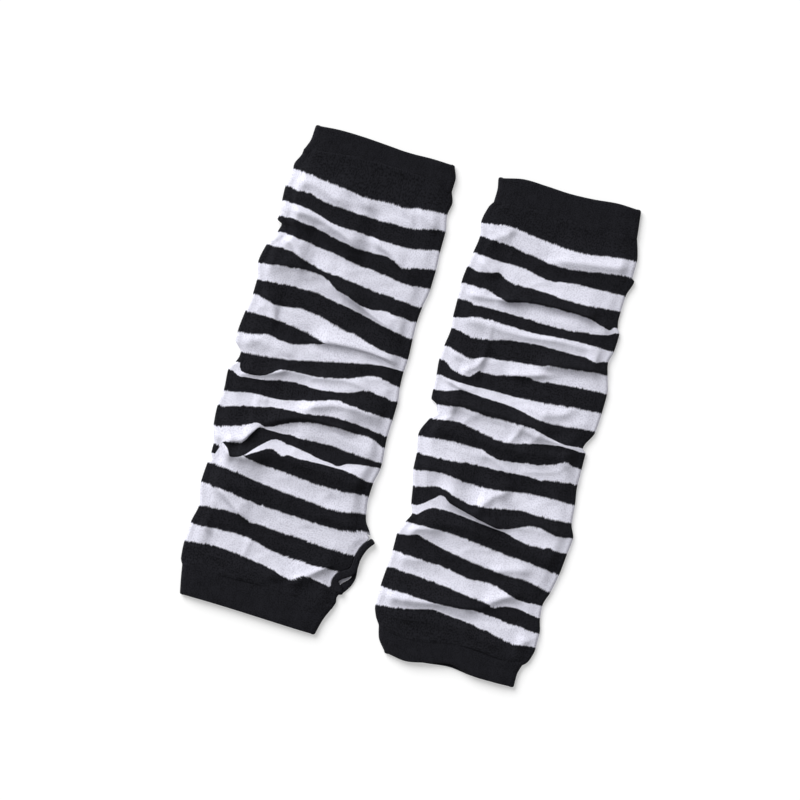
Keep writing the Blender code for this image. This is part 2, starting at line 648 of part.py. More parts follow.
def seam_line(sleeve_end, toward):
    """A cuff's edge at the seam, which follows the sleeve's end a gap away."""
    return sleeve_end._replace(y=tuple(y + toward * SEAM_GAP for y in sleeve_end.y))


def make_cuffs(side, sleeve, frame, black):
    lie = Lie((), CUFF_WALL)
    upper = (*UPPER_CUFFS[side], seam_line(sleeve[0], 1))
    lower = (seam_line(sleeve[-1], -1), *LOWER_CUFFS[side])
    for name, courses in ((f"{side}_upper_cuff", upper), (f"{side}_lower_cuff", lower)):
        rings = [ring_of(line, lie) for line in all_lines(courses)]
        place_piece(name, wall_mesh(name, rings), frame, (black,))


def centre_on_origin(frames):
    """Moves the warmers together so that their box stands centred on the origin."""
    bpy.context.view_layer.update()
    corners = [
        piece.matrix_world @ Vector(corner)
        for piece in bpy.context.scene.objects
        if piece.type == "MESH" and not piece.hide_render
        for corner in (vertex.co for vertex in piece.data.vertices)
    ]
    for axis in (0, 1):
        middle = (min(c[axis] for c in corners) + max(c[axis] for c in corners)) / 2
        for frame in frames:
            frame.location[axis] -= middle
    bpy.context.view_layer.update()


def main():
    for old in list(bpy.data.objects):
        bpy.data.objects.remove(old, do_unlink=True)
    black = yarn("black_yarn", BLACK_YARN)
    white = yarn("white_yarn", WHITE_YARN)
    centre_on_origin((make_left(black, white), make_right(black, white)))


main()
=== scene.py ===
# %% [markdown]
# # A pair of knitted arm warmers
# Two striped tubes of fine knit lie flat and softly crumpled, side by side, on a pale surface.
# Each has a plain folded cuff at both ends, and the left one shows its bound thumb hole at the side.
# We start from the fixed frame: eight plain solids that say where every piece lies. Each of them gets
# a finer cloth shell here, with its folds, its stripes and its stitches.

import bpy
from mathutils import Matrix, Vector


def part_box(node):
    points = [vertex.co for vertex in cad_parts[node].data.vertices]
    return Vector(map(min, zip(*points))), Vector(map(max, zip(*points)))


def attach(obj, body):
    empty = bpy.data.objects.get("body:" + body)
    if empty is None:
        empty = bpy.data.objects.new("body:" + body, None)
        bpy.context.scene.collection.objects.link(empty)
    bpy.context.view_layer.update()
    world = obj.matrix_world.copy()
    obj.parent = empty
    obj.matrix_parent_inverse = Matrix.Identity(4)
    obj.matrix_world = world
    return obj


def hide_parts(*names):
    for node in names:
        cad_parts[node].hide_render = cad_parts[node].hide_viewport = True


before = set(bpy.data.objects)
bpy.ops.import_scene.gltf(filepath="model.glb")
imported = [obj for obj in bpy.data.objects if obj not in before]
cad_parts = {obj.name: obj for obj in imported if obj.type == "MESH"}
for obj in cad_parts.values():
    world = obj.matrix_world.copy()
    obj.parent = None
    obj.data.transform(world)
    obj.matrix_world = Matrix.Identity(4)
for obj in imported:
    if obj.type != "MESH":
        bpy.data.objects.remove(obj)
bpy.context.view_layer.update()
print("nodes:", ", ".join(sorted(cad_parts)))

# %% Helpers from outside this file
import math
from collections import namedtuple

import bpy
import numpy as np
from mathutils import Vector, noise

# %% [markdown]
# ## Where each warmer lies
# Every warmer is laid out in its own upright frame, in millimetres: X runs across it, Y up its length.
# Working upright keeps the tables readable. Only the last step turns and moves the points into place.

# %% Places and cloth sizes
MM = 0.001
Lay = namedtuple("Lay", "x y tilt")
LAYS = {"left": Lay(-57.607, 16.241, -16.4), "right": Lay(61.093, -15.359, -14.4)}

SLEEVE_WALL = 1.5
CUFF_WALL = 2.0
HOLLOW = 0.8          # slit between the front and back of a flat tube
STRIPE = 12.4         # one stripe of the unstretched knit


def to_world(side, points):
    """Points of a warmer's own frame, in millimetres, turned and moved to where it lies, in metres."""
    lay = LAYS[side]
    c, s = math.cos(math.radians(lay.tilt)), math.sin(math.radians(lay.tilt))
    x, y, z = points[..., 0], points[..., 1], points[..., 2]
    placed = np.stack((lay.x + c * x - s * y, lay.y + s * x + c * y, z), axis=-1)
    return placed * MM


# %% [markdown]
# ## Lines of the knit
# A stripe changes colour along a course, which is one round of stitches. On the crumpled tube such a
# line wanders up and down. Each row below holds the height of one line at seven even places from the
# left edge to the right, with the tube's edges at that height. The first and last rows are the cuff seams.
# A nudge pulls one line up or down over a short stretch. A detour gives the line's whole path over a
# stretch where the cloth is tucked and pinched.

# %% Stripe lines of the left warmer
Line = namedtuple("Line", "left_x y right_x")
Nudge = namedtuple("Nudge", "line x rise half_width")
Detour = namedtuple("Detour", "line path")

LEFT_LINES = (
    Line(-48.5, (134.5, 136.5, 138.5, 139.0, 139.0, 138.0, 135.0), 47.0),
    Line(-51.5, (122.0, 120.0, 118.7, 117.5, 118.2, 120.0, 121.2), 48.3),
    Line(-53.0, (110.0, 108.5, 106.0, 105.2, 105.6, 107.2, 110.5), 50.3),
    Line(-52.5, (101.0, 99.8, 95.5, 95.2, 94.0, 94.8, 98.5), 50.5),
    Line(-51.5, (90.0, 90.3, 87.3, 84.6, 85.2, 82.8, 85.5), 51.3),
    Line(-49.5, (82.0, 80.4, 78.5, 75.8, 74.7, 72.5, 74.2), 51.3),
    Line(-54.0, (71.5, 71.5, 66.0, 64.5, 62.5, 61.5, 60.5), 49.5),
    Line(-56.0, (59.8, 62.0, 63.2, 56.0, 51.6, 51.7, 52.5), 49.0),
    Line(-53.5, (49.0, 50.6, 51.3, 49.3, 46.6, 42.6, 40.3), 49.5),
    Line(-53.5, (40.8, 38.0, 39.7, 36.8, 33.6, 29.7, 28.3), 50.2),
    Line(-55.0, (28.3, 28.5, 26.7, 23.8, 24.8, 24.4, 21.0), 49.5),
    Line(-56.0, (14.8, 18.0, 17.3, 23.1, 24.8, 24.4, 21.0), 50.0),
    Line(-50.5, (3.0, 5.0, 7.5, 11.6, 15.5, 19.3, 20.0), 49.8),
    Line(-51.8, (0.0, -7.6, 0.8, 2.0, 6.0, 12.4, 10.0), 50.3),
    Line(-55.0, (-8.5, -9.7, -7.0, -5.3, -3.3, 1.6, 0.0), 51.7),
    Line(-54.0, (-22.3, -19.0, -18.0, -13.7, -9.0, -10.0, -10.3), 51.7),
    Line(-55.0, (-33.0, -28.0, -23.8, -22.5, -19.6, -20.0, -22.0), 51.5),
    Line(-54.0, (-45.0, -39.5, -34.7, -27.2, -25.0, -25.4, -29.0), 52.0),
    Line(-50.6, (-55.5, -50.2, -38.0, -38.0, -37.0, -38.3, -38.7), 53.0),
    Line(-50.4, (-61.6, -58.5, -44.5, -44.0, -46.8, -43.5, -41.3), 53.0),
    Line(-50.4, (-61.8, -60.0, -50.0, -50.3, -49.3, -49.4, -52.4), 51.2),
    Line(-50.4, (-62.0, -60.3, -59.6, -60.4, -61.6, -61.7, -59.8), 51.0),
    Line(-51.0, (-68.3, -69.0, -71.3, -73.0, -74.2, -74.7, -71.3), 52.5),
    Line(-51.5, (-80.3, -81.6, -83.8, -84.5, -85.0, -85.0, -80.6), 57.5),
    Line(-48.5, (-95.3, -93.8, -96.0, -97.3, -97.8, -98.7, -98.3), 54.0),
    Line(-50.5, (-106.8, -105.8, -105.3, -108.7, -110.3, -110.5, -109.5), 52.0),
    Line(-51.0, (-119.0, -116.9, -117.7, -119.7, -122.6, -120.4, -120.6), 51.5),
    Line(-48.3, (-133.0, -132.7, -132.2, -131.7, -131.7, -132.2, -133.0), 48.8),
)

LEFT_NUDGES = (
    Nudge(1, -40, 0.7, 3), Nudge(1, 21, -1.2, 5), Nudge(1, -5, -0.8, 6),
    Nudge(2, -46, -0.8, 4), Nudge(2, -37, 0.6, 3), Nudge(2, -28, -0.7, 4), Nudge(2, 28, -0.9, 5),
    Nudge(4, 30, -2.2, 5), Nudge(4, -46, 1.2, 4),
    Nudge(6, -32, -1.0, 5),
    Nudge(7, -12, 1.8, 6), Nudge(7, 2, 1.0, 5), Nudge(7, 28, 1.4, 5), Nudge(7, 45, -1.0, 3),
    Nudge(9, -39, -0.9, 3),
    Nudge(11, -37, 0.5, 4), Nudge(11, 4, 0.5, 4),
    Nudge(15, 14, 0.8, 5),
    Nudge(19, 27, -2.2, 4),
    Nudge(24, -22, 1.2, 4), Nudge(24, -16, -0.8, 3),
)
LEFT_DETOURS = (
    Detour(13, ((-53, 1.5), (-51, 1.1), (-49.8, -0.6), (-48.5, -6.0), (-46.8, -7.9), (-42, -8.0), (-36, -7.3),
                (-32, -5.6), (-28.5, -3.0), (-26, -0.8), (-23, 0.4), (-18, 1.1), (-10, 1.3), (0, 2.0))),
    Detour(14, ((-55, -8.6), (-51, -9.6), (-47, -11.3), (-42, -10.6), (-35, -9.9), (-28, -8.6), (-20, -6.7),
                (-10, -5.4), (0, -6.0), (10, -4.7), (19, -3.0), (24, -1.4), (26.5, 0.2), (29, 1.5), (35, 1.9))),
    Detour(17, ((-40, -40.7), (-35, -38.6), (-31, -36.4), (-28, -35.4), (-26, -35.9), (-24, -37.0), (-22, -36.4),
                (-19, -35.6), (-15, -33.4), (-10, -30.6), (-5, -28.6), (0, -27.2))),
    Detour(17, ((34, -24.6), (39, -24.6), (43, -25.2), (46, -26.2), (49, -28.0), (52, -30.6))),
    Detour(18, ((-53, -55.2), (-50.5, -55.4), (-48.5, -55.9), (-47.2, -56.8), (-46.5, -57.6), (-45.8, -53.4),
                (-45, -52.7), (-43, -52.2), (-38, -51.4), (-34.8, -51.0), (-33.2, -49.2), (-31.3, -45.7),
                (-29.4, -42.0), (-27.5, -38.8), (-25, -37.7), (-21, -38.3), (-8, -38.0))),
    Detour(19, ((-53, -62.0), (-50.5, -62.2), (-48.5, -62.2), (-47.8, -61.6), (-47.1, -59.6),
                (-46.5, -57.7), (-45.8, -53.5), (-45, -53.4), (-43.4, -54.4), (-41.6, -55.7), (-40.4, -57.0),
                (-39.3, -59.2), (-38.4, -60.6), (-35, -60.0), (-32.5, -59.0), (-30, -57.2), (-27, -53.6),
                (-25, -51.4), (-20, -46.2), (-17, -43.6), (-14, -42.3), (-8, -42.5))),
    Detour(20, ((-53, -50), (-34, -50), (-30, -57.4), (-25, -54.5), (-20, -51.4), (-16.5, -49.4), (-14, -49.0),
                (-12, -49.8), (-9, -51.1), (-7, -51.5), (-4, -50.0), (0, -49.9))),
    Detour(21, ((-53, -50), (-34, -50), (-30, -57.9), (-25, -58.8), (-20, -59.6), (-10, -60.0))),
    Detour(26, ((4, -120.7), (8, -121.2), (12, -122.4), (15, -123.5), (18, -124.0), (21, -122.6), (24, -120.4),
                (28, -118.8), (33, -119.4), (38, -120.2), (44, -121.4))),
)

# Places (y, x) where an edge bulges or is pinched between two lines
LEFT_EDGE_LEFT = (
    (132, -48.7), (124, -51.7), (88.5, -52.0), (86.5, -48.5), (10, -56.0), (1, -50.5), (-7, -54.5),
    (-53, -51.2), (-58, -50.6), (-64.8, -49.3), (-130, -50.0),
)
LEFT_EDGE_RIGHT = ((128.3, 49.3), (-75.8, 53.8), (-83.4, 58.6), (-126.6, 49.4), (-128.3, 50.0))

# %% Stripe lines of the right warmer
RIGHT_LINES = (
    Line(-44.5, (135.0, 135.5, 136.0, 135.5, 133.5, 134.3, 135.0), 47.3),
    Line(-49.0, (120.8, 123.0, 121.0, 119.0, 118.0, 120.3, 121.5), 50.7),
    Line(-47.5, (112.5, 110.8, 108.7, 105.8, 106.7, 109.2, 110.5), 50.5),
    Line(-49.0, (102.0, 100.5, 100.2, 96.8, 98.6, 98.8, 99.0), 49.3),
    Line(-50.5, (93.0, 91.7, 89.2, 88.8, 87.3, 87.3, 88.3), 48.7),
    Line(-51.5, (82.0, 81.2, 78.2, 80.8, 80.7, 78.0, 80.5), 49.5),
    Line(-51.3, (70.5, 69.8, 70.0, 69.5, 69.2, 71.6, 75.5), 51.3),
    Line(-51.3, (59.8, 63.8, 63.3, 62.6, 63.8, 64.2, 63.5), 50.8),
    Line(-50.5, (53.3, 50.0, 53.3, 55.7, 55.8, 55.5, 56.5), 49.0),
    Line(-52.0, (42.0, 38.5, 41.3, 43.0, 45.3, 47.3, 49.0), 50.5),
    Line(-53.0, (32.5, 26.2, 31.7, 34.4, 35.0, 36.3, 36.8), 53.3),
    Line(-52.3, (23.3, 21.4, 21.7, 21.6, 22.5, 24.2, 25.0), 53.0),
    Line(-52.0, (13.0, 16.5, 15.8, 14.5, 10.6, 11.2, 12.5), 52.0),
    Line(-48.0, (5.0, 7.0, 5.7, 5.8, 4.2, 1.3, 1.0), 47.0),
    Line(-49.5, (-4.8, -2.8, -5.8, -7.8, -4.2, -1.3, -2.0), 49.5),
    Line(-54.0, (-16.3, -15.0, -15.0, -18.7, -16.7, -12.8, -11.5), 49.5),
    Line(-52.0, (-27.5, -27.4, -25.8, -25.4, -24.7, -23.7, -22.0), 49.5),
    Line(-51.7, (-37.5, -35.3, -37.2, -37.2, -34.8, -33.8, -34.2), 51.0),
    Line(-49.3, (-48.3, -44.8, -49.5, -49.0, -46.5, -47.2, -46.2), 52.0),
    Line(-47.5, (-59.0, -52.5, -54.8, -58.3, -58.3, -53.7, -54.5), 55.0),
    Line(-45.5, (-63.7, -58.8, -58.2, -60.0, -63.0, -65.8, -65.3), 53.8),
    Line(-48.0, (-70.0, -70.0, -70.6, -72.5, -74.5, -76.3, -78.5), 52.3),
    Line(-51.5, (-79.0, -78.3, -82.0, -85.0, -87.2, -87.5, -91.0), 49.7),
    Line(-51.5, (-89.0, -90.3, -91.3, -94.5, -94.3, -99.8, -99.5), 47.0),
    Line(-52.3, (-100.0, -101.2, -102.8, -105.3, -107.2, -105.5, -108.0), 47.5),
    Line(-53.3, (-112.5, -113.3, -114.5, -114.2, -113.8, -115.4, -117.0), 49.5),
    Line(-53.5, (-125.0, -123.0, -119.8, -120.8, -123.4, -126.8, -126.3), 49.5),
    Line(-48.5, (-135.7, -139.7, -139.2, -136.2, -135.7, -137.7, -138.8), 44.0),
)

RIGHT_NUDGES = (
    Nudge(2, -28, 0.8, 5),
    Nudge(4, -43, -2.2, 5), Nudge(4, -30, 1.8, 4), Nudge(4, -22, -0.8, 4),
    Nudge(8, 41, -2.2, 4),
    Nudge(9, -36, -0.8, 4), Nudge(9, -26, 1.0, 4),
    Nudge(12, -34, 0.8, 4), Nudge(12, -44, -0.6, 4),
    Nudge(13, 14, 0.8, 6), Nudge(13, 36, -0.8, 6),
    Nudge(15, -13, 1.2, 5), Nudge(15, 25, -1.0, 5), Nudge(15, 39, 2.4, 4),
    Nudge(16, 26, -1.0, 4),
    Nudge(22, -39, 1.8, 5),
    Nudge(24, 18, -1.6, 4),
    Nudge(25, 6, 1.2, 7),
    Nudge(26, -18, 0.8, 6), Nudge(26, 34, -0.8, 5),
)
RIGHT_DETOURS = (
    Detour(5, ((-51.5, 82.2), (-44, 82.0), (-36, 81.8), (-30, 80.0), (-25, 78.9), (-20, 77.5), (-15, 78.6),
               (-10, 80.0), (0, 81.1), (10, 81.3), (22, 81.0), (30, 80.2), (35, 78.6), (40, 77.0), (44.5, 75.8),
               (46, 77.5), (49.5, 80.5))),
    Detour(6, ((-51.3, 70.8), (-46, 71.6), (-40, 70.1), (-30, 70.3), (-10, 70.0), (0, 69.3), (12, 68.8), (22, 69.2),
               (32, 70.4), (40, 71.5), (45, 73.0), (48.5, 75.0), (51.3, 75.8))),
    Detour(10, ((-53, 32.4), (-50, 32.3), (-47, 30.5), (-44, 28.2), (-40, 26.8), (-35, 26.0), (-32, 26.5), (-29, 29.0),
                (-27, 31.0), (-20, 30.8), (-10, 32.5), (0, 34.6), (4, 34.9), (7, 34.0), (14, 34.1))),
    Detour(19, ((-47.5, -59.2), (-44, -58.5), (-41, -57.0), (-38, -54.5), (-35, -52.0), (-33, -50.0), (-31, -48.8),
                (-29, -48.6), (-27, -50.0), (-24, -52.0), (-15, -54.5), (-5, -57.2), (5, -59.5), (8, -60.0),
                (12, -59.4), (17, -58.0), (22, -55.5), (27, -53.7), (32, -53.0), (36, -53.5), (40, -54.8),
                (44, -55.8), (50, -55.2), (55, -54.3))),
    Detour(20, ((-45.5, -65.0), (-43, -64.4), (-40, -61.5), (-37, -59.0), (-33, -57.8), (-28, -57.5), (-20, -57.8),
                (-10, -58.8), (0, -59.8), (10, -61.0), (15, -62.0), (20, -64.0), (25, -65.0), (30, -65.8),
                (38, -65.5), (42, -64.3), (46, -65.2), (53.8, -65.3))),
)

RIGHT_EDGE_LEFT = ((131.7, -46.7), (7.5, -51.7), (0, -46.2), (-131.5, -51.5))
RIGHT_EDGE_RIGHT = ((128.3, 49.3), (109, 52.2), (84, 48.6), (73.5, 51.4), (-133.3, 48.0), (-136.7, 46.3))

# %% Lines of the cuffs, from the hem to the middle or from the middle to the hem
UPPER_CUFFS = {
    "left": (
        Line(-45.5, (150.3, 151.5, 151.5, 150.8, 150.0, 150.5, 150.3), 44.5),
        Line(-45.8, (142.6, 144.0, 145.0, 144.8, 144.5, 144.2, 142.6), 47.1),
    ),
    "right": (
        Line(-45.3, (149.5, 152.3, 151.7, 150.7, 151.0, 152.2, 151.5), 45.5),
        Line(-44.2, (142.3, 143.9, 143.9, 143.2, 142.4, 143.3, 143.3), 46.4),
    ),
}
LOWER_CUFFS = {
    "left": (
        Line(-46.6, (-141.5, -141.3, -141.2, -141.2, -141.3, -141.6, -141.8), 45.1),
        Line(-44.7, (-150.0, -149.9, -149.9, -150.2, -150.5, -150.8, -150.9), 43.0),
    ),
    "right": (
        Line(-46.4, (-143.5, -146.5, -145.0, -142.2, -143.9, -145.0, -145.8), 42.2),
        Line(-41.0, (-151.0, -153.0, -150.6, -148.0, -151.5, -152.2, -152.2), 42.2),
    ),
}
print("stripe lines:", len(LEFT_LINES), "and", len(RIGHT_LINES))

# %% [markdown]
# ## Folds
# Fine knit that is pushed together along an arm keeps soft uneven folds when it is laid down. A
# simulation gives folds of its own choosing, so these are given one by one instead: each has a crest line,
# a height, and how far it reaches above and below the crest. A short reach makes a steep side, and a
# lean tips the crest over the cloth below it.

# %% Folds of the left warmer
Fold = namedtuple("Fold", "crest height above below round lean", defaults=(2.5, 0.0))

LEFT_FOLDS = (
    Fold(((-49, 135), (-16, 138.6), (16, 139.2), (47, 135.5)), 1.0, 4, 4, 2),
    Fold(((-51, 115), (-38, 115.4), (-26, 112.5), (-14, 109)), 3.6, 5, 4.5, 1),
    Fold(((-20, 122), (-12, 119), (-4, 114), (4, 111)), 2.4, 5, 3.5, 1),
    Fold(((18, 119), (24, 115), (30, 110)), 1.5, 4, 3, 0.6),
    Fold(((29, 118.5), (37, 114.5), (46, 110.5)), 2.2, 4, 3, 0.6),
    Fold(((-53, 95.6), (-38, 96.6), (-28, 95.8), (-18, 93.2), (-8, 89.6), (2, 86)), 6.4, 7, 8, 0.7),
    Fold(((9, 92.8), (16, 90), (22, 87), (28, 83.5)), 2.8, 5, 2.4, 0.6),
    Fold(((-52, 84.5), (-46, 81), (-41, 77.5), (-34, 72.4), (-28, 68)), 5.4, 5, 4.6, 0.5),
    Fold(((-56, 69), (-50.5, 76), (-46, 84)), 3.4, 5, 11, 0.6),
    Fold(((26, 86), (34, 80), (42, 73)), 1.9, 5, 4, 0.8),
    Fold(((-50, 60.5), (-32, 64.5), (-18, 64.2), (-8, 60.5), (2, 56.3), (12, 51.8)), 3.8, 7, 9, 1),
    Fold(((-6, 59), (6, 54), (16, 50), (26, 46.3), (36, 42.5)), 3.2, 5, 2.6, 0.4),
    Fold(((33, 53), (38, 48), (42, 43)), 1.4, 4, 3, 0.6),
    Fold(((-47, 42), (-42, 39), (-38.5, 34), (-35, 28)), 2.4, 4.5, 3.5, 0.6),
    Fold(((-7, 22.8), (-2, 24.6), (10, 26.3), (24, 26.8), (36, 26), (43, 24.4)), 3.4, 9, 2.1, 0.9, 1.0),
    Fold(((-55, 12), (-40, 13), (-22, 12)), 2.2, 5, 6, 1.5),
    Fold(((-52, -3), (-44, -6.5), (-34, -6), (-27, -2.5), (-20, 1)), 2.2, 7, 2.4, 0.8, 0.6),
    Fold(((-26, -3.5), (-20, 0.3), (-8, 1.2), (4, 2.2), (16, 4.5), (28, 4)), 2.4, 5, 4, 0.7),
    Fold(((-3, -19.5), (5, -15.5), (14, -12.4), (28, -11), (42, -12.2)), 4.6, 6, 5.5, 0.6),
    Fold(((-24, -34.5), (-14, -29.5), (-4, -25.8), (10, -24), (30, -24.4)), 4.3, 8, 3.2, 0.9),
    Fold(((0, -33), (24, -32), (48, -33)), 1.6, 6, 7, 2),
    Fold(((-53, -50.5), (-44, -50.8), (-35, -48.5), (-30, -42), (-26, -37)), 4.3, 9, 2.2, 0.7, 0.6),
    Fold(((-50, -51), (-45, -54.5), (-38, -60.8)), 2.4, 3, 3, 0.6),
    Fold(((-38, -59.5), (-29, -57), (-16, -52), (0, -53), (25, -54), (50, -55)), 4.6, 5, 12, 1),
    Fold(((-46, -55), (-38.5, -59.6), (-30, -58.8), (-18, -58.2)), 3.2, 4, 3.4, 0.7),
    Fold(((-50, -76), (-20, -78), (20, -80), (50, -78)), 1.9, 7, 8),
    Fold(((-43, -80.5), (-37, -83.4), (-31, -87), (-25, -91), (-17, -96)), 3.4, 6, 2.6, 0.6),
    Fold(((-52, -104), (-44, -105), (-38, -108)), 2.7, 5, 6, 0.8),
    Fold(((-15, -119), (-12.5, -112), (-10, -105.5)), 0.6, 4, 4, 0.6),
    Fold(((20, -125.5), (27, -119), (33, -114), (41, -107.5)), 3.0, 6, 2.6, 0.5),
    Fold(((-30, -123), (-8, -127), (14, -124)), 1.1, 5, 3),
    Fold(((-49, -133), (0, -131.7), (49, -133)), 1.0, 4, 4, 2),
)

# %% Folds of the right warmer
RIGHT_FOLDS = (
    Fold(((-45, 135), (-15, 136.2), (15, 134.3), (47, 135)), 1.0, 4, 4, 2),
    Fold(((-47, 120), (-43, 117), (-39, 113)), 1.4, 3, 3, 0.6),
    Fold(((-40, 111), (-34, 115.5), (-28, 120)), 1.9, 4, 4, 0.7),
    Fold(((2, 109.5), (14, 111.3), (26, 112.5), (38, 114), (48, 116.5)), 3.0, 6, 5, 0.9),
    Fold(((-47, 99), (-41, 96), (-36, 92.5), (-31, 90.5)), 2.2, 5, 3, 0.6),
    Fold(((-44, 75.8), (-34, 76.4), (-26, 77.6), (-18, 79)), 2.3, 5, 1.6, 0.7),
    Fold(((-24, 78), (-10, 80.9), (0, 82), (18, 82.2), (32, 81)), 4.4, 9, 1.9, 0.8, 0.8),
    Fold(((28, 82), (36, 79), (45, 76.5)), 2.4, 5, 2.5, 0.7),
    Fold(((-4, 73.5), (12, 73), (28, 73.5)), 1.2, 4, 4),
    Fold(((-42, 61), (-28, 60.2), (-12, 59), (4, 59.9), (18, 61.5), (34, 61)), 2.8, 5, 4.8, 0.7),
    Fold(((8, 44.8), (18, 46.2), (30, 47.9), (42, 49.2), (54, 50)), 3.4, 7, 2.4, 0.8),
    Fold(((35, 62.5), (40, 58), (43, 54)), 1.6, 4, 3, 0.6),
    Fold(((-37, 28.5), (-30, 33.5), (-25, 41.5)), 2.7, 6, 4, 0.7),
    Fold(((-50, 41), (-42, 38), (-34, 37)), 1.6, 4, 3.5, 0.8),
    Fold(((-8, 33.6), (4, 36.2), (14, 39.2)), 2.4, 5, 1.6, 0.4),
    Fold(((-54, 23), (-44, 20.8), (-36, 18.4), (-30, 18)), 1.9, 5, 1.5, 0.5),
    Fold(((6, 16.5), (17, 15), (27, 17), (36, 22)), 1.9, 4, 3.5, 0.7),
    Fold(((-45, -3.5), (-39, 2.5), (-35, 7.5)), 1.6, 5, 4, 0.8),
    Fold(((-31, -4), (-26, 1), (-20, 6)), 0.8, 4, 3, 0.7),
    Fold(((-46, 7.4), (-28, 8.8), (-8, 8), (10, 6.8), (24, 4.6)), 4.2, 4, 8, 1),
    Fold(((1, -7), (5, -1), (8, 5)), 1.4, 3, 3, 0.5),
    Fold(((12, -6), (17, -1), (20, 3)), 0.8, 3, 3, 0.5),
    Fold(((6, 3), (18, 1.2), (30, 0.3), (47, 0.8)), 2.4, 5, 3, 0.7),
    Fold(((-50, -9), (-20, -10), (8, -11), (44, -5)), 2.7, 5, 8, 1.5),
    Fold(((-15, -16.5), (-4, -20.5), (7, -24.5)), 1.9, 5, 4, 0.7),
    Fold(((35, -9), (42, -14), (48, -20)), 1.9, 4, 3, 0.6),
    Fold(((-52, -34), (-36, -33.5), (-18, -36.5)), 3.8, 8, 8, 1.2),
    Fold(((-8, -53), (-3, -46), (1.5, -41.2), (9, -37)), 3.0, 8, 4.5, 0.5),
    Fold(((-30, -47.5), (-18, -52.4), (-8, -55.6), (2, -58.2), (12, -59)), 5.4, 9, 3.6, 0.8, 0.6),
    Fold(((14, -58), (24, -53.5), (34, -52.5), (50, -55)), 2.2, 5, 8, 1.2),
    Fold(((-46, -66), (-10, -65), (20, -69), (50, -72)), 3.0, 7, 9, 1.5),
    Fold(((-49, -76), (-38, -72.3), (-26, -69.5)), 2.2, 4, 4, 0.6),
    Fold(((12, -86.5), (22, -83.5), (33, -80.5)), 1.9, 4, 3, 0.7),
    Fold(((-51, -92.5), (-38, -91), (-24, -91)), 1.4, 3, 4, 1),
    Fold(((11, -109.5), (17, -104.5), (23, -100.3), (32, -97)), 3.2, 7, 4, 0.5),
    Fold(((-54, -117.5), (-38, -117.2), (-24, -115.6), (-10, -113.2), (8, -112)), 4.6, 7, 5, 0.8),
    Fold(((37, -128), (43, -124), (49, -118)), 1.6, 4, 3, 0.6),
    Fold(((-44, -129), (-10, -126), (30, -131)), 1.9, 4, 6, 1.2),
    Fold(((-49, -136), (-32, -139.7), (-10, -138.5), (10, -136), (44, -138.5)), 1.0, 4, 4, 2),
)

# %% Shallow creases of the undersides, where the cloth is pressed flat
LEFT_UNDER = (
    Fold(((-46, 118), (-10, 112), (30, 116)), 0.6, 3, 3),
    Fold(((-30, 88), (5, 92), (44, 86)), 0.7, 3, 2),
    Fold(((-48, 66), (-15, 60), (20, 64)), 0.6, 2.5, 3),
    Fold(((-10, 44), (20, 40), (46, 45)), 0.7, 2.5, 2),
    Fold(((-50, 22), (-20, 26), (10, 20), (40, 24)), 0.7, 3, 2),
    Fold(((-44, -4), (-8, -1), (24, -7)), 0.6, 2.5, 2.5),
    Fold(((-20, -28), (14, -31), (46, -26)), 0.7, 3, 2),
    Fold(((-48, -52), (-16, -48), (20, -53)), 0.7, 2.5, 3),
    Fold(((-6, -74), (24, -70), (48, -73)), 0.6, 3, 3),
    Fold(((-46, -96), (-14, -100), (22, -95)), 0.6, 3, 2.5),
)
RIGHT_UNDER = (
    Fold(((-42, 112), (0, 117), (40, 111)), 0.6, 3, 3),
    Fold(((-46, 84), (-12, 80), (18, 85)), 0.7, 2.5, 2),
    Fold(((-16, 60), (14, 63), (46, 58)), 0.6, 3, 2.5),
    Fold(((-48, 36), (-14, 40), (24, 34)), 0.7, 2.5, 2),
    Fold(((-30, 12), (6, 8), (44, 13)), 0.6, 3, 3),
    Fold(((-46, -14), (-10, -18), (26, -13)), 0.7, 3, 2),
    Fold(((-24, -42), (10, -38), (46, -43)), 0.6, 2.5, 2.5),
    Fold(((-46, -62), (-8, -66), (30, -61)), 0.7, 3, 2),
    Fold(((-14, -88), (18, -84), (44, -89)), 0.6, 3, 3),
    Fold(((-10, -118), (16, -122), (42, -117)), 0.6, 3, 2.5),
)
print("folds:", len(LEFT_FOLDS) + len(RIGHT_FOLDS), "above and", len(LEFT_UNDER) + len(RIGHT_UNDER), "below")

# %% [markdown]
# ## Smooth curves
# Two helpers turn short tables into smooth curves: one for evenly spaced values, and one that never
# swings past its own points, which suits the edges and the crest lines.

# %% Curve helpers
def ease(share):
    """0 to 1 with a soft start and a soft end."""
    share = np.clip(share, 0.0, 1.0)
    return share * share * (3 - 2 * share)


def even_curve(values, place):
    """A smooth curve through evenly spaced values, read at places from 0 to 1."""
    values = np.asarray(values, float)
    last = len(values) - 1
    spot = np.clip(place, 0.0, 1.0) * last
    i = np.minimum(spot.astype(int), last - 1)
    f = spot - i
    start, end = values[i], values[i + 1]
    slope_in = (end - values[np.maximum(i - 1, 0)]) / 2
    slope_out = (values[np.minimum(i + 2, last)] - start) / 2
    f2, f3 = f * f, f * f * f
    return (
        start * (2 * f3 - 3 * f2 + 1) + slope_in * (f3 - 2 * f2 + f)
        + end * (3 * f2 - 2 * f3) + slope_out * (f3 - f2)
    )


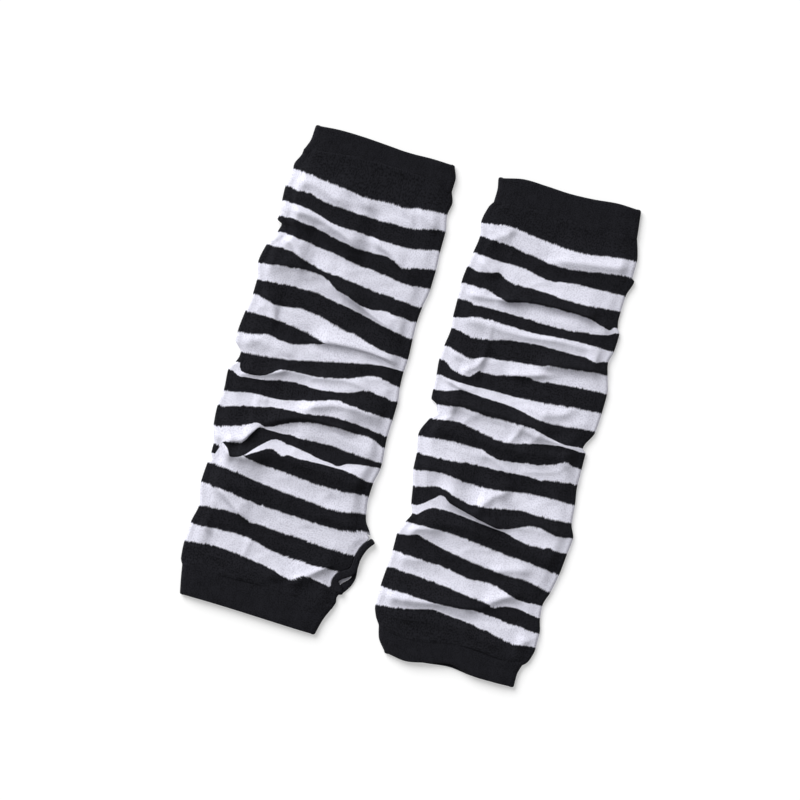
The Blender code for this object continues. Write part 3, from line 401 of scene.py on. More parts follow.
def path_curve(points, at):
    """A curve through (place, value) points that stays between them, level beyond its ends."""
    points = sorted(points)
    kept = [points[0]]
    for point in points[1:]:
        if point[0] - kept[-1][0] > 0.3:
            kept.append(point)
    places, values = (np.array(column, float) for column in zip(*kept))
    gaps = np.diff(places)
    rise = np.diff(values) / gaps
    slopes = np.zeros(len(places))
    slopes[0], slopes[-1] = rise[0], rise[-1]
    before, after = rise[:-1], rise[1:]
    steady = before * after > 0
    slopes[1:-1][steady] = 2 * before[steady] * after[steady] / (before[steady] + after[steady])
    at = np.clip(at, places[0], places[-1])
    i = np.clip(np.searchsorted(places, at) - 1, 0, len(gaps) - 1)
    f = (at - places[i]) / gaps[i]
    f2, f3 = f * f, f * f * f
    return (
        values[i] * (2 * f3 - 3 * f2 + 1) + slopes[i] * gaps[i] * (f3 - 2 * f2 + f)
        + values[i + 1] * (3 * f2 - 2 * f3) + slopes[i + 1] * gaps[i] * (f3 - f2)
    )


# %% [markdown]
# ## How high the cloth lies
# The height at a point is the flat double layer, plus every fold that reaches it, plus a little
# unevenness. Folds die away towards the side edges, where the tube is folded flat on itself.

# %% Height of the folds
EDGE_FADE = 7.0
EDGE_SHARE = 0.45
ROLL = 1.5            # a side edge is this much wider than high
ROLL_WIDTH = 2.6      # how wide such an edge is, on average
FADE_LENGTHS = (3.0, 7.0)   # how softly a fold ends, at least and at most
GENTLE = 2.2          # the upper side of a fold reaches at least this many times its height
RIPPLE = 0.34         # soft unevenness between the folds
RIPPLE_LONG = 15.0
RIPPLE_SHORT = 5.5
CREASE = 0.4          # height of the small sharp creases between the folds
CREASE_LONG = 24.0
CREASE_SHORT = 10.0
CREASE_NARROW = 3.2   # the larger, the thinner a crease


def fold_bell(fold, x, y):
    """0 to 1: how much of a fold is felt at (x, y)."""
    first, last = fold.crest[0][0], fold.crest[-1][0]
    fade = min(max((last - first) / 4, FADE_LENGTHS[0]), FADE_LENGTHS[1])
    envelope = ease((x - first + fade) / (2 * fade)) * ease((last + fade - x) / (2 * fade))
    rise = path_curve(fold.crest, x + 0.5) - path_curve(fold.crest, x - 0.5)
    off = (y - path_curve(fold.crest, x)) / np.sqrt(1 + rise**2)
    reach = np.where(off > 0, max(fold.above, GENTLE * fold.height), fold.below)
    far = np.sqrt(off**2 + fold.round**2) - fold.round
    return envelope * np.exp(-1.15 * far / reach)


def raised(folds, x, y):
    return sum(fold.height * fold_bell(fold, x, y) for fold in folds)


def leaned(folds, x, y):
    return sum(fold.lean * fold_bell(fold, x, y) for fold in folds if fold.lean)


def ripple(x, y, seed):
    """Soft unevenness and small sharp creases, both longer across the tube than along it."""
    heights = []
    for a, b in zip(x.ravel(), y.ravel()):
        soft = noise.noise(Vector((a / RIPPLE_LONG, b / RIPPLE_SHORT, seed)))
        soft += 0.5 * noise.noise(Vector((a / RIPPLE_LONG * 2.3, b / RIPPLE_SHORT * 2.1, seed + 7)))
        line = abs(noise.noise(Vector((a / CREASE_LONG, b / CREASE_SHORT, seed + 15))))
        heights.append(RIPPLE * soft + CREASE * max(0.0, 1 - CREASE_NARROW * line) ** 2)
    return np.array(heights).reshape(x.shape)


# %% [markdown]
# ## The tube
# A flattened tube is a stack of rings. Each ring follows one course: across the front, round the right
# edge, back underneath and round the left edge, once outside and once inside the wall. The ends are
# rounded over from the outside to the inside, as a folded hem or a seam is. Beside a thumb hole the ring
# stays open, and its two lips end at the hole.

# %% Grid sizes
FRONT_STEPS = 112
BACK_STEPS = 40
SIDE_ANGLES = (77, 52, 26, 0, -26, -52, -77)
ROWS = 9              # grid rows to a stripe
LEAST_BAND = 0.08     # least height of a stripe that is all but hidden
PINCHED = 1.0         # a stripe this narrow or narrower starts to count as hidden
MARGIN = 0.25         # how far the colours of its neighbours draw back from it, in stripes
LEAST_SLIT = 0.3
HEM_ANGLES = (30, 60, 90, 120, 150)
WALES = 160           # stitches round the tube

Tube = namedtuple("Tube", "outer inner stripe wale open")


def placed_lines(lines, nudges, detours, lips, share):
    """The height of each line at each share of the front, which lies between the two side rolls."""
    heights = []
    for i, line in enumerate(lines):
        end = line.right_x - ROLL_WIDTH
        if lips and lips.open_at(line.y[-1]):
            end = lips.front_x(line.y[-1])
        x = line.left_x + ROLL_WIDTH + (end - line.left_x - ROLL_WIDTH) * share
        y = even_curve(line.y, (x - line.left_x) / (line.right_x - line.left_x))
        for nudge in nudges:
            if nudge.line == i:
                y = y + nudge.rise * np.exp(-(((x - nudge.x) / nudge.half_width) ** 2))
        for detour in detours:
            if detour.line == i:
                on_it = (x >= detour.path[0][0]) & (x <= detour.path[-1][0])
                y = np.where(on_it, path_curve(detour.path, x), y)
        if heights:
            y = np.minimum(y, heights[-1] - LEAST_BAND)
        heights.append(y)
    return np.array(heights)


def make_tube(lines, wall, rows, folds=(), under=(), nudges=(), detours=(), edges=((), ()), lips=None, seed=0.0):
    """The rings of a flattened tube. lips gives the x of the front and back lips of a thumb hole."""
    flat_top = 2 * wall + HOLLOW
    bands = len(lines) - 1
    stripe = np.linspace(0, bands, bands * rows + 1)
    band = np.minimum(stripe.astype(int), bands - 1)
    f = (stripe - band)[:, None]
    share = np.linspace(0, 1, FRONT_STEPS + 1)
    line_y = placed_lines(lines, nudges, detours, lips, share)
    y = line_y[band] * (1 - f) + line_y[band + 1] * f
    narrow = ease((PINCHED - (line_y[:-1] - line_y[1:])) / PINCHED)
    narrow = np.concatenate((0 * narrow[:1], narrow, 0 * narrow[:1]))
    drawn = narrow[:-1] - narrow[1:]
    number = stripe[:, None] + MARGIN * (drawn[band] * (1 - f) + drawn[band + 1] * f)
    left_x = path_curve([(ys[0], line.left_x) for ys, line in zip(line_y, lines)] + list(edges[0]), y[:, 0])
    right_x = path_curve([(ys[-1], line.right_x) for ys, line in zip(line_y, lines)] + list(edges[1]), y[:, -1])

    def tops(x, y, from_edge):
        fade = ease(from_edge / EDGE_FADE)
        height = flat_top - HOLLOW * (1 - fade) + (EDGE_SHARE + (1 - EDGE_SHARE) * fade) * raised(folds, x, y)
        step = 0.5
        slope_x = (raised(folds, x + step, y) - raised(folds, x - step, y)) / (2 * step)
        slope_y = (raised(folds, x, y + step) - raised(folds, x, y - step)) / (2 * step)
        down = np.minimum(3.0, wall * np.sqrt(1 + slope_x**2 + slope_y**2))
        if folds:
            height = height + fade * ripple(x, y, seed)
        return height, np.maximum(wall + LEAST_SLIT * fade, height - down)

    at_edge = np.zeros((len(y), 1))
    start, end = left_x[:, None] + ROLL_WIDTH, right_x[:, None] - ROLL_WIDTH
    for _ in range(3):
        left_top, right_top = tops(start, y[:, :1], at_edge), tops(end, y[:, -1:], at_edge)
        start, end = left_x[:, None] + ROLL * left_top[0] / 2, right_x[:, None] - ROLL * right_top[0] / 2
    radius = {"left": left_top[0] / 2, "right": right_top[0] / 2}
    radius_in = {"left": (left_top[1] - wall) / 2, "right": (right_top[1] - wall) / 2}
    back_end = end
    is_open = np.zeros(len(y), bool)
    if lips:
        is_open = lips.open_at(y[:, -1])
        end = np.where(is_open[:, None], lips.front_x(y[:, -1:]), end)
        back_end = np.where(is_open[:, None], lips.back_x(y[:, -1:]), back_end)
    x = start + (end - start) * share
    top, top_in = tops(x, y, np.minimum(x - start, end - x))
    top[:, :1], top_in[:, :1] = left_top
    shut = ~is_open
    top[shut, -1], top_in[shut, -1] = right_top[0][shut, 0], right_top[1][shut, 0]
    lean = leaned(folds, x, y) * ease(np.minimum(x - start, end - x) / EDGE_FADE) if folds else 0 * x
    front = np.stack((x, y - lean, top), -1)
    front_in = np.stack((x, y - lean, top_in), -1)

    back_share = np.linspace(1, 0, BACK_STEPS + 1)
    bx = start + (back_end - start) * back_share
    calm_y = y[:, :1] * (1 - back_share) + y[:, -1:] * back_share
    own_y = np.array([np.interp(back_share, share, row) for row in y])
    by = (own_y + calm_y) / 2
    dent = raised(under, bx, by) if under else 0 * bx
    dent = dent * ease(np.minimum(bx - start, back_end - bx) / EDGE_FADE)
    back = np.stack((bx, by, dent), -1)
    back_in = np.stack((bx, by, wall + 0.9 * dent), -1)

    def side(edge_x, y_edge, radius, radius_in, toward, angles):
        centre = edge_x[:, None] - toward * ROLL * radius
        turn = np.radians(np.array(angles, float))
        c, s = np.cos(turn), np.sin(turn)
        level = np.repeat(y_edge, len(angles), axis=1)
        outside = np.stack((centre + toward * ROLL * radius * c, level, radius + radius * s), -1)
        inside = np.stack((centre + toward * ROLL * radius_in * c, level, wall + radius_in + radius_in * s), -1)
        return outside, inside

    right = side(right_x, y[:, -1:], radius["right"], radius_in["right"], 1, SIDE_ANGLES)
    left = side(left_x, y[:, :1], radius["left"], radius_in["left"], -1, SIDE_ANGLES[::-1])
    outer = np.concatenate((front, right[0], back, left[0]), axis=1)
    inner = np.concatenate((front_in, right[1], back_in, left[1]), axis=1)
    columns = outer.shape[1]
    turn_share = 0.025
    wale = np.concatenate((
        np.linspace(0, 0.5 - turn_share, FRONT_STEPS + 1),
        0.5 - turn_share + turn_share * np.arange(1, len(SIDE_ANGLES) + 1) / (len(SIDE_ANGLES) + 1),
        np.linspace(0.5, 1 - turn_share, BACK_STEPS + 1),
        1 - turn_share + turn_share * np.arange(1, len(SIDE_ANGLES) + 1) / (len(SIDE_ANGLES) + 1),
    ))
    assert len(wale) == columns
    back_number = np.array([np.interp(back_share, share, row) for row in number])
    sides = len(SIDE_ANGLES)
    number = np.concatenate((
        number, np.repeat(number[:, -1:], sides, axis=1), back_number, np.repeat(number[:, :1], sides, axis=1),
    ), axis=1)
    return Tube(outer, inner, number, wale * WALES, is_open)


# %% Faces of a tube
def tube_mesh(name, side, tube):
    """One closed mesh with its wale and stripe numbers as a UV map."""
    outer, inner, open_rows = tube.outer, tube.inner, tube.open
    rows, columns = outer.shape[:2]
    middle, half = (outer + inner) / 2, (outer - inner) / 2
    thick = np.linalg.norm(half, axis=-1, keepdims=True)

    def hem(row, upward):
        rings = []
        for angle in HEM_ANGLES:
            c, s = math.cos(math.radians(angle)), math.sin(math.radians(angle))
            ring = middle[row] + half[row] * c
            ring[:, 1] += upward * s * np.minimum(thick[row, :, 0], 1.2)
            rings.append(ring)
        return rings

    top_hem, low_hem = hem(0, 1), hem(rows - 1, -1)
    points = np.concatenate(
        (outer.reshape(-1, 3), inner.reshape(-1, 3), np.concatenate(top_hem), np.concatenate(low_hem))
    )
    outer_at = np.arange(rows * columns).reshape(rows, columns)
    inner_at = outer_at + rows * columns
    hem_at = 2 * rows * columns + np.arange(2 * len(HEM_ANGLES) * columns).reshape(2, len(HEM_ANGLES), columns)
    faces, uvs = [], []
    wale = np.append(tube.wale, WALES)

    def patch(corners):
        """corners are (point, column, row), four of them."""
        faces.append([corner[0] for corner in corners])
        uvs.extend((wale[column], tube.stripe[row, column % columns]) for _, column, row in corners)

    first_side, last_side = FRONT_STEPS, FRONT_STEPS + len(SIDE_ANGLES)
    for r in range(rows - 1):
        open_here = open_rows[r] or open_rows[r + 1]
        high, low = r, r + 1
        for m in range(columns):
            if open_here and first_side <= m <= last_side:
                continue
            n = (m + 1) % columns
            patch(((outer_at[r, m], m, high), (outer_at[r + 1, m], m, low),
                   (outer_at[r + 1, n], m + 1, low), (outer_at[r, n], m + 1, high)))
            patch(((inner_at[r, m], m, high), (inner_at[r, n], m + 1, high),
                   (inner_at[r + 1, n], m + 1, low), (inner_at[r + 1, m], m, low)))
        if open_here:
            f, b = first_side, last_side + 1
            patch(((outer_at[r, f], f, high), (inner_at[r, f], f, high),
                   (inner_at[r + 1, f], f, low), (outer_at[r + 1, f], f, low))[::-1])
            patch(((outer_at[r, b], b, high), (inner_at[r, b], b, high),
                   (inner_at[r + 1, b], b, low), (outer_at[r + 1, b], b, low)))

    def cap(r, upward):
        for m in range(first_side, last_side + 1):
            ring = [(outer_at[r, m], m), (outer_at[r, m + 1], m + 1), (inner_at[r, m + 1], m + 1), (inner_at[r, m], m)]
            ring = ring if upward else ring[::-1]
            patch([(point, column, r) for point, column in ring])

    for r in range(rows - 1):
        closed, closed_below = not open_rows[r], not open_rows[r + 1]
        if closed and not closed_below:
            cap(r, False)
        if closed_below and not closed:
            cap(r + 1, True)
    for end, row, upward in ((0, 0, True), (1, rows - 1, False)):
        rings = [outer_at[row], *hem_at[end], inner_at[row]]
        for a, b in zip(rings, rings[1:]):
            for m in range(columns):
                n = (m + 1) % columns
                ring = [(a[m], m), (a[n], m + 1), (b[n], m + 1), (b[m], m)]
                ring = ring if upward else ring[::-1]
                patch([(point, column, row) for point, column in ring])

    used = np.unique(np.concatenate([np.array(face) for face in faces]))
    renumber = np.zeros(len(points), int)
    renumber[used] = np.arange(len(used))
    mesh = bpy.data.meshes.new(name)
    mesh.from_pydata(to_world(side, points[used]).tolist(), [], [[int(renumber[i]) for i in face] for face in faces])
    layer = mesh.uv_layers.new(name="knit")
    layer.data.foreach_set("uv", np.array(uvs, float).ravel())
    mesh.shade_smooth()
    mesh.validate()
    piece = bpy.data.objects.new(name, mesh)
    bpy.context.scene.collection.objects.link(piece)
    print(name, len(mesh.polygons), "faces,", len(mesh.vertices), "points")
    return piece


# %% [markdown]
# ## The thumb hole of the left warmer
# The knit is slit along its right side edge and the slit is bound with a narrow black band. The band
# runs down the front lip, turns, and comes back up behind. Each run is a row of centres with the band's
# width there; the cloth of the sleeve stops beside it.

# %% Runs of the bound edge
Run = namedtuple("Run", "x y width")

FRONT_RUN = (
    Run(60.3, -87.2, 4.0), Run(57.2, -91.4, 4.0), Run(55.1, -98.5, 4.1), Run(54.8, -104.6, 4.3),
    Run(53.4, -108.4, 4.8), Run(50.6, -110.4, 5.1), Run(47.6, -112.6, 4.9), Run(45.8, -115.8, 4.1),
    Run(46.9, -119.1, 5.6), Run(50.0, -122.0, 4.6),
)
BACK_RUN = (
    Run(60.3, -87.2, 4.0), Run(57.4, -91.7, 4.0), Run(55.4, -98.5, 3.8), Run(55.2, -104.5, 3.6),
    Run(55.8, -108.6, 3.2), Run(55.9, -111.8, 3.0), Run(54.4, -115.2, 4.2), Run(52.0, -118.4, 5.4),
    Run(50.0, -122.0, 4.4),
)
LIP_GAP = 0.1
HOLE_TOP, HOLE_BOTTOM = -84.0, -121.4
RUN_STATIONS = 46


def run_curve(run, count):
    """Centres, headings and widths at even steps along a run."""
    place = np.linspace(0, 1, count)
    xs, ys, widths = (even_curve([getattr(row, column) for row in run], place) for column in ("x", "y", "width"))
    heading = np.stack((np.gradient(xs), np.gradient(ys)), -1)
    heading /= np.linalg.norm(heading, axis=1, keepdims=True)
    return np.stack((xs, ys), -1), heading, widths


class Lips:
    """Where the cloth of the sleeve ends beside the two runs."""

    def __init__(self, front, back):
        self.lines = []
        for run in (front, back):
            centre, heading, width = run_curve(run, RUN_STATIONS)
            inward = np.stack((heading[:, 1], -heading[:, 0]), -1)
            spot = centre + inward * (width / 2 + LIP_GAP)[:, None]
            order = np.argsort(spot[:, 1])
            self.lines.append((spot[order, 1], spot[order, 0]))

    def open_at(self, y):
        return (y < HOLE_TOP) & (y > HOLE_BOTTOM)

    def front_x(self, y):
        return np.interp(y, *self.lines[0])

    def back_x(self, y):
        return np.interp(y, *self.lines[1])


# %% Sleeves
left_sleeve = tube_mesh("left_sleeve_knit", "left", make_tube(
    LEFT_LINES, SLEEVE_WALL, ROWS, LEFT_FOLDS, LEFT_UNDER, LEFT_NUDGES, LEFT_DETOURS,
    (LEFT_EDGE_LEFT, LEFT_EDGE_RIGHT), Lips(FRONT_RUN, BACK_RUN), seed=3.1,
))
right_sleeve = tube_mesh("right_sleeve_knit", "right", make_tube(
    RIGHT_LINES, SLEEVE_WALL, ROWS, RIGHT_FOLDS, RIGHT_UNDER, RIGHT_NUDGES, RIGHT_DETOURS,
    (RIGHT_EDGE_LEFT, RIGHT_EDGE_RIGHT), seed=8.4,
))

# %% [markdown]
# ## Cuffs
# A cuff is the same knit turned back on itself, so it is thicker and stiffer and lies flat. It is the
# same kind of tube without folds, with its hem rolled over and its other end set against the sleeve.

# %% Make the cuffs
SEAM_GAP = -0.4       # the cuff's rolled end laps this far into the sleeve's, so that the seam stays shallow
CUFF_ROWS = 7


def moved(line, by):
    return line._replace(y=tuple(y + by for y in line.y))


cuffs = {}
for side, lines in (("left", LEFT_LINES), ("right", RIGHT_LINES)):
    upper = (*UPPER_CUFFS[side], moved(lines[0], SEAM_GAP))
    lower = (moved(lines[-1], -SEAM_GAP), *LOWER_CUFFS[side])
    for end, cuff_lines in (("upper", upper), ("lower", lower)):
        name = f"{side}_{end}_cuff_knit"
        cuffs[side, end] = tube_mesh(name, side, make_tube(cuff_lines, CUFF_WALL, CUFF_ROWS))

# %% [markdown]
# ## Bound edge
# The band is a soft flattened roll. It is built as a loop of small oval sections: down the front run,
# round under the sleeve's edge, back up the rear run, and round again.

# %% Make the left bound edge
BAND_THICKNESS = 1.7
BAND_FRONT_Z, BAND_BACK_Z = 3.1, 0.85
BAND_SIDES = 14
BAND_TURN = (30, 60, 90, 120, 150)


def band_mesh(name, side, stations):
    """A closed loop of oval sections; a station is (centre, across, normal, width)."""
    points, count = [], len(stations)
    for centre, across, normal, width in stations:
        for k in range(BAND_SIDES):
            angle = 2 * math.pi * (k + 0.5) / BAND_SIDES
            points.append(
                centre + across * (width / 2 * math.cos(angle)) + normal * (BAND_THICKNESS / 2 * math.sin(angle))
            )
    faces, uvs = [], []
    for i in range(count):
        j = (i + 1) % count
        for k in range(BAND_SIDES):
            n = (k + 1) % BAND_SIDES
            faces.append([i * BAND_SIDES + k, j * BAND_SIDES + k, j * BAND_SIDES + n, i * BAND_SIDES + n])
            uvs += [(k, i), (k, i + 1), (k + 1, i + 1), (k + 1, i)]
    mesh = bpy.data.meshes.new(name)
    mesh.from_pydata(to_world(side, np.array(points)).tolist(), [], faces)
    layer = mesh.uv_layers.new(name="knit")
    scale = np.array((8.0 / BAND_SIDES, 0.1))
    layer.data.foreach_set("uv", (np.array(uvs, float) * scale).ravel())
    mesh.shade_smooth()
    piece = bpy.data.objects.new(name, mesh)
    bpy.context.scene.collection.objects.link(piece)
    bpy.ops.object.select_all(action="DESELECT")
    piece.select_set(True)
    bpy.context.view_layer.objects.active = piece
    bpy.ops.object.mode_set(mode="EDIT")
    bpy.ops.mesh.select_all(action="SELECT")
    bpy.ops.mesh.normals_make_consistent(inside=False)
    bpy.ops.object.mode_set(mode="OBJECT")
    print(name, len(mesh.polygons), "faces")
    return piece


def left_band_stations():
    up = np.array((0.0, 0.0, 1.0))
    centre_z = (BAND_FRONT_Z + BAND_BACK_Z) / 2
    turn_radius = (BAND_FRONT_Z - BAND_BACK_Z) / 2
    stations = []

    def add(spot, heading, normal, width):
        across = np.array((heading[1], -heading[0], 0.0))
        stations.append((np.array((*spot, centre_z)) + normal * turn_radius, across, normal, width))

    def turn(spot, heading, width, outward):
        forward = np.array((*heading, 0.0)) * outward
        for angle in BAND_TURN:
            c, s = math.cos(math.radians(angle)), math.sin(math.radians(angle))
            add(spot, heading, outward * up * c + forward * s, width)

    front, back = run_curve(FRONT_RUN, RUN_STATIONS), run_curve(BACK_RUN, RUN_STATIONS)
    low_heading = front[1][-1] + back[1][-1]
    low_heading /= np.linalg.norm(low_heading)
    top_heading = front[1][0] + back[1][0]
    top_heading /= np.linalg.norm(top_heading)
    for spot, heading, width in list(zip(*front))[:-1]:
        add(spot, heading, up, width)
    add(front[0][-1], low_heading, up, front[2][-1])
    turn(front[0][-1], low_heading, front[2][-1], 1)
    add(back[0][-1], low_heading, -up, back[2][-1])
    for spot, heading, width in list(zip(*back))[-2::-1]:
        add(spot, heading, -up, width)
    turn(back[0][0], top_heading, back[2][0], -1)
    return stations


left_edge = band_mesh("left_thumb_hole_binding", "left", left_band_stations())

# %% [markdown]
# ## Thumb hole of the right warmer
# The right warmer lies with its thumb hole underneath. It is the same narrow bound slit, pressed flat
# in the underside near the left edge. The sleeve's shell is already closed there, so the slit is cut
# out of it with a Boolean modifier: its block goes through the lower layer and ends in the hollow.

# %% Make the right bound edge
RIGHT_HOLE = (-40.5, -103.0)
RIGHT_HOLE_LENGTH, RIGHT_HOLE_WIDTH, RIGHT_BAND = 36.0, 9.2, 4.0
ARC_STATIONS, STRAIGHT_STATIONS = 10, 14


def right_band_stations():
    radius = (RIGHT_HOLE_WIDTH - RIGHT_BAND) / 2
    reach = RIGHT_HOLE_LENGTH / 2 - RIGHT_HOLE_WIDTH / 2
    loop = []
    for end in (1, -1):
        for i in range(ARC_STATIONS + 1):
            angle = math.pi * i / ARC_STATIONS
            loop.append((end * radius * math.cos(angle), end * (reach + radius * math.sin(angle))))
        for i in range(1, STRAIGHT_STATIONS):
            loop.append((-end * radius, end * reach * (1 - 2 * i / STRAIGHT_STATIONS)))
    loop = np.array(loop)
    ahead = np.roll(loop, -1, axis=0) - np.roll(loop, 1, axis=0)
    ahead /= np.linalg.norm(ahead, axis=1, keepdims=True)
    up = np.array((0.0, 0.0, 1.0))
    centre_z = BAND_THICKNESS / 2
    return [
        (np.array((x + RIGHT_HOLE[0], y + RIGHT_HOLE[1], centre_z)), np.array((h[1], -h[0], 0.0)), up, RIGHT_BAND)
        for (x, y), h in zip(loop, ahead)
    ]


right_edge = band_mesh("right_thumb_hole_binding", "right", right_band_stations())

# %% Cut the slit into the right sleeve
SLIT_GAP = 0.3        # between the band and the cloth that it is sewn to
SLIT_LOW, SLIT_HIGH = -1.0, SLEEVE_WALL + HOLLOW / 2


def slit_block():
    """A slot-shaped block as wide as the band's outside."""
    radius = RIGHT_HOLE_WIDTH / 2 + SLIT_GAP
    reach = RIGHT_HOLE_LENGTH / 2 - RIGHT_HOLE_WIDTH / 2
    outline = [
        (RIGHT_HOLE[0] + end * radius * math.cos(angle), RIGHT_HOLE[1] + end * (reach + radius * math.sin(angle)))
        for end in (1, -1) for angle in np.linspace(0, math.pi, ARC_STATIONS + 1)
    ]
    count = len(outline)
    points = np.array([(x, y, z) for z in (SLIT_LOW, SLIT_HIGH) for x, y in outline])
    faces = [[i, (i + 1) % count, count + (i + 1) % count, count + i] for i in range(count)]
    faces += [list(range(count))[::-1], list(range(count, 2 * count))]
    mesh = bpy.data.meshes.new("slit_block")
    mesh.from_pydata(to_world("right", points).tolist(), [], faces)
    block = bpy.data.objects.new("slit_block", mesh)
    bpy.context.scene.collection.objects.link(block)
    return block


block = slit_block()
slit = right_sleeve.modifiers.new("slit", "BOOLEAN")
slit.operation, slit.solver, slit.object = "DIFFERENCE", "EXACT", block
bpy.ops.object.select_all(action="DESELECT")
right_sleeve.select_set(True)
bpy.context.view_layer.objects.active = right_sleeve
bpy.ops.object.modifier_apply(modifier=slit.name)
bpy.data.objects.remove(block)
print("right sleeve with its slit:", len(right_sleeve.data.polygons), "faces")

# %% [markdown]
# ## Knit finish
# Nodes are wired with a small class, so that shader maths reads like ordinary arithmetic. Wale and
# stripe numbers come from the UV map, so that the stitches follow the cloth through every fold.

# %% A class for wiring nodes
class Wire:
    """One output of a node. Arithmetic on it adds Math nodes."""

    def __init__(self, paint, socket):
        self.paint, self.socket = paint, socket

    def maths(self, operation, *others):
        inputs = dict(enumerate((self, *others)))
        return self.paint.node("ShaderNodeMath", {"operation": operation}, inputs)

    def __add__(self, other):
        return self.maths("ADD", other)

    def __sub__(self, other):
        return self.maths("SUBTRACT", other)

    def __mul__(self, other):
        return self.maths("MULTIPLY", other)

    def __truediv__(self, other):
        return self.maths("DIVIDE", other)

    def __rsub__(self, other):
        return self * -1 + other

    __radd__ = __add__
    __rmul__ = __mul__


class Paint:
    """The nodes of one material."""

    def __init__(self, name):
        self.material = bpy.data.materials.new(name)
        self.material.use_nodes = True
        self.tree = self.material.node_tree
        self.shader = self.tree.nodes["Principled BSDF"]

    def node(self, kind, settings=None, inputs=None, output=0):
        """Adds a node: its settings first, then the values or links of its inputs."""
        made = self.tree.nodes.new(kind)
        for key, value in (settings or {}).items():
            setattr(made, key, value)
        for key, value in (inputs or {}).items():
            self.join(made.inputs[key], value)
        return Wire(self, made.outputs[output])

    def join(self, socket, value):
        if isinstance(value, Wire):
            self.tree.links.new(value.socket, socket)
        else:
            socket.default_value = value

    def set(self, **inputs):
        for key, value in inputs.items():
            self.join(self.shader.inputs[key.replace("_", " ")], value)


# %% Stitches, streaks, stripes and painted groove shade
COURSES = 12          # rounds of stitches to a stripe
SLANT = 1.2           # how far a stitch's legs slope, in courses
WHITE = (0.785, 0.785, 0.886, 1.0)
# the darker end of the white: the yarn's uneven tone, and painted shade in the stitch grooves
WHITE_DEEP = (0.60, 0.595, 0.685, 1.0)
BLACK = (0.0125, 0.0126, 0.0165, 1.0)
# the darker end of the black: the yarn's uneven tone, and painted shade in the stitch grooves
BLACK_DEEP = (0.003, 0.003, 0.0045, 1.0)
SOFT_EDGE = 0.16      # how softly black fades into white, as a share of a stripe
WIDE_BLACK = 0.11     # black yarn shows a little over the edge of the white


def stitches(paint):
    """Wires for the stitch relief from 0 to 1 and for the place on the knit."""
    uv = paint.node("ShaderNodeUVMap", {"uv_map": "knit"})
    split = paint.node("ShaderNodeSeparateXYZ", inputs={0: uv})
    wale = Wire(paint, split.socket.node.outputs[0])
    stripe = Wire(paint, split.socket.node.outputs[1])
    across = (wale.maths("FRACT") - 0.5).maths("ABSOLUTE")
    leg = 1 - ((across - 0.25) * 4).maths("POWER", 2)
    course = stripe * COURSES + across * SLANT
    loop = (course.maths("FRACT") * math.pi).maths("SINE")
    relief = leg.maths("MAXIMUM", 0.0) * (loop * 0.6 + 0.4)
    return relief, across, wale, stripe


def cloud(paint, wale, stripe, across, along, detail=1.0):
    """Soft noise over the knit; across and along say how often it changes, per stitch and per stripe."""
    place = paint.node("ShaderNodeCombineXYZ", inputs={0: wale * across, 1: stripe * along})
    return paint.node("ShaderNodeTexNoise", inputs={"Vector": place, "Scale": 1.0, "Detail": detail}) - 0.5


def knit(name, striped):
    """Fine matt knit, plain black or striped, with painted shade darkening the grooves between the stitch legs."""
    paint = Paint(name)
    relief, across, wale, stripe = stitches(paint)
    streak = cloud(paint, wale, stripe, 0.55, 1.3, 2.0)
    grain = cloud(paint, wale, stripe, 1.5, 13.0, 2.0)
    patch = cloud(paint, wale, stripe, 0.13, 1.5)
    # painted shade: the relief term darkens the grooves between the stitch legs; streak, grain and patch are the
    # yarn's own uneven tone
    shade = (relief - 0.4) * 0.2 + streak * 0.9 + grain * 4.4 + patch * 0.7 + 0.69
    black_tone_and_groove_shade = ((shade - 0.69) * 1.35 + 0.66).maths("MINIMUM", 1.4).maths("MAXIMUM", 0.0)
    black = paint.node("ShaderNodeMix", {"data_type": "RGBA"}, {0: black_tone_and_groove_shade, 6: BLACK_DEEP, 7: BLACK}, 2)
    colour = black
    if striped:
        wander = cloud(paint, wale, stripe, 0.33, 0.7)
        fray = cloud(paint, wale, stripe, 1.1, 3.1, 2.0)
        edge = stripe + (across - 0.25) * 0.08 + wander * 0.14 + fray * 0.18
        edge = edge.maths("MAXIMUM", 0.06).maths("MINIMUM", len(LEFT_LINES) - 1.06)
        turn = (edge * 0.5).maths("FRACT")
        is_white = paint.node(
            "ShaderNodeMapRange", {"interpolation_type": "SMOOTHSTEP"},
            {0: (turn * 2 * math.pi).maths("SINE") + WIDE_BLACK, 1: SOFT_EDGE, 2: -SOFT_EDGE, 3: 0.0, 4: 1.0},
        )
        white = paint.node(
            "ShaderNodeMix", {"data_type": "RGBA"}, {0: shade.maths("MINIMUM", 1.0), 6: WHITE_DEEP, 7: WHITE}, 2
        )
        colour = paint.node("ShaderNodeMix", {"data_type": "RGBA"}, {0: is_white, 6: black, 7: white}, 2)
    height = relief + streak * 0.5
    bump = paint.node("ShaderNodeBump", inputs={"Height": height, "Strength": 0.45, "Distance": 0.00025})
    paint.set(Base_Color=colour, Normal=bump, Roughness=0.92, Sheen_Weight=0.03, Sheen_Roughness=0.5)
    paint.set(Specular_IOR_Level=0.12)
    print("finish:", name)
    return paint.material


striped_knit = knit("striped_knit", True)
black_knit = knit("black_knit", False)
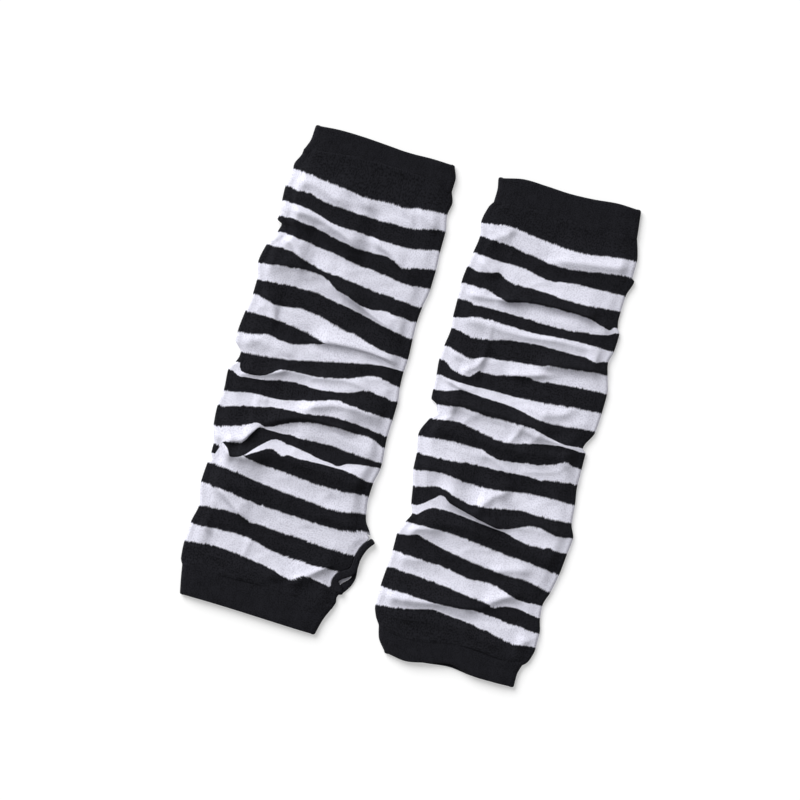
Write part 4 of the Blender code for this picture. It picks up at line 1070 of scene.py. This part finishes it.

# %% [markdown]
# ## The pieces in place
# Each shell gets its finish, hangs from the root and stands in for its plain solid, which is hidden.
# How far its box lies from that solid's box is printed.

# %% Finish, attach and replace
ROOT = "root"
pieces = (
    (left_sleeve, "left_sleeve", striped_knit, "striped_knit"),
    (right_sleeve, "right_sleeve", striped_knit, "striped_knit"),
    (left_edge, "left_thumb_hole_edge", black_knit, "black_knit"),
    (right_edge, "right_thumb_hole_edge", black_knit, "black_knit"),
    *((cuff, f"{side}_{end}_cuff", black_knit, "black_knit") for (side, end), cuff in cuffs.items()),
)
for piece, node, finish, slot in pieces:
    piece.data.materials.append(finish)
    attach(piece, ROOT)
    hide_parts(node)
for piece, node, _, _ in pieces:
    low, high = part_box(node)
    mine = [piece.matrix_world @ v.co for v in piece.data.vertices]
    off = [min(p[k] for p in mine) - low[k] for k in range(3)] + [max(p[k] for p in mine) - high[k] for k in range(3)]
    print(node, "box differs by", [round(value / MM, 1) for value in off], "mm")

# %% [markdown]
# ## Floor, light and camera
# The pair was seen from straight above on a white surface, lit softly from the upper left. A long lens
# far up keeps the view free of perspective.

# %% Floor
FLOOR_DROP = 0.0002
bpy.ops.object.select_all(action="DESELECT")
bpy.ops.mesh.primitive_plane_add(size=6.0, location=(0, 0, -FLOOR_DROP))
floor = bpy.context.active_object
floor.name = "floor"
floor_paint = Paint("floor_paper")
floor_grain = floor_paint.node("ShaderNodeTexNoise", inputs={"Scale": 40.0, "Detail": 2.0})
floor_colour = floor_paint.node(
    "ShaderNodeMix", {"data_type": "RGBA"}, {0: floor_grain, 6: (0.64, 0.64, 0.64, 1), 7: (0.67, 0.67, 0.67, 1)}, 2
)
floor_paint.set(Base_Color=floor_colour, Roughness=0.9, Specular_IOR_Level=0.1)
floor_paint.set(Emission_Color=(1.0, 1.0, 1.0, 1.0), Emission_Strength=0.41)
floor.data.materials.append(floor_paint.material)

# %% Light
world = bpy.data.worlds.new("studio")
bpy.context.scene.world = world
world.use_nodes = True
world.node_tree.nodes["Background"].inputs["Color"].default_value = (1.0, 1.0, 1.0, 1.0)
world.node_tree.nodes["Background"].inputs["Strength"].default_value = 0.24

KEY_FROM = Vector((-0.546, 0.838, 0.74))
bpy.ops.object.light_add(type="SUN", location=KEY_FROM)
key = bpy.context.active_object
key.data.energy = 3.8
key.data.angle = math.radians(44)
key.rotation_euler = (-KEY_FROM).to_track_quat("-Z", "Y").to_euler()

# %% Camera
CAMERA_HEIGHT = 3.0
VIEW_WIDTH = 0.496
camera_data = bpy.data.cameras.new("camera")
camera = bpy.data.objects.new("camera", camera_data)
bpy.context.scene.collection.objects.link(camera)
camera.location = (-0.00647, 0.00385, CAMERA_HEIGHT)
camera_data.sensor_width = 36.0
camera_data.lens = camera_data.sensor_width * CAMERA_HEIGHT / VIEW_WIDTH
camera_data.clip_end = 20.0
bpy.context.scene.camera = camera
bpy.context.scene.view_settings.view_transform = "Standard"
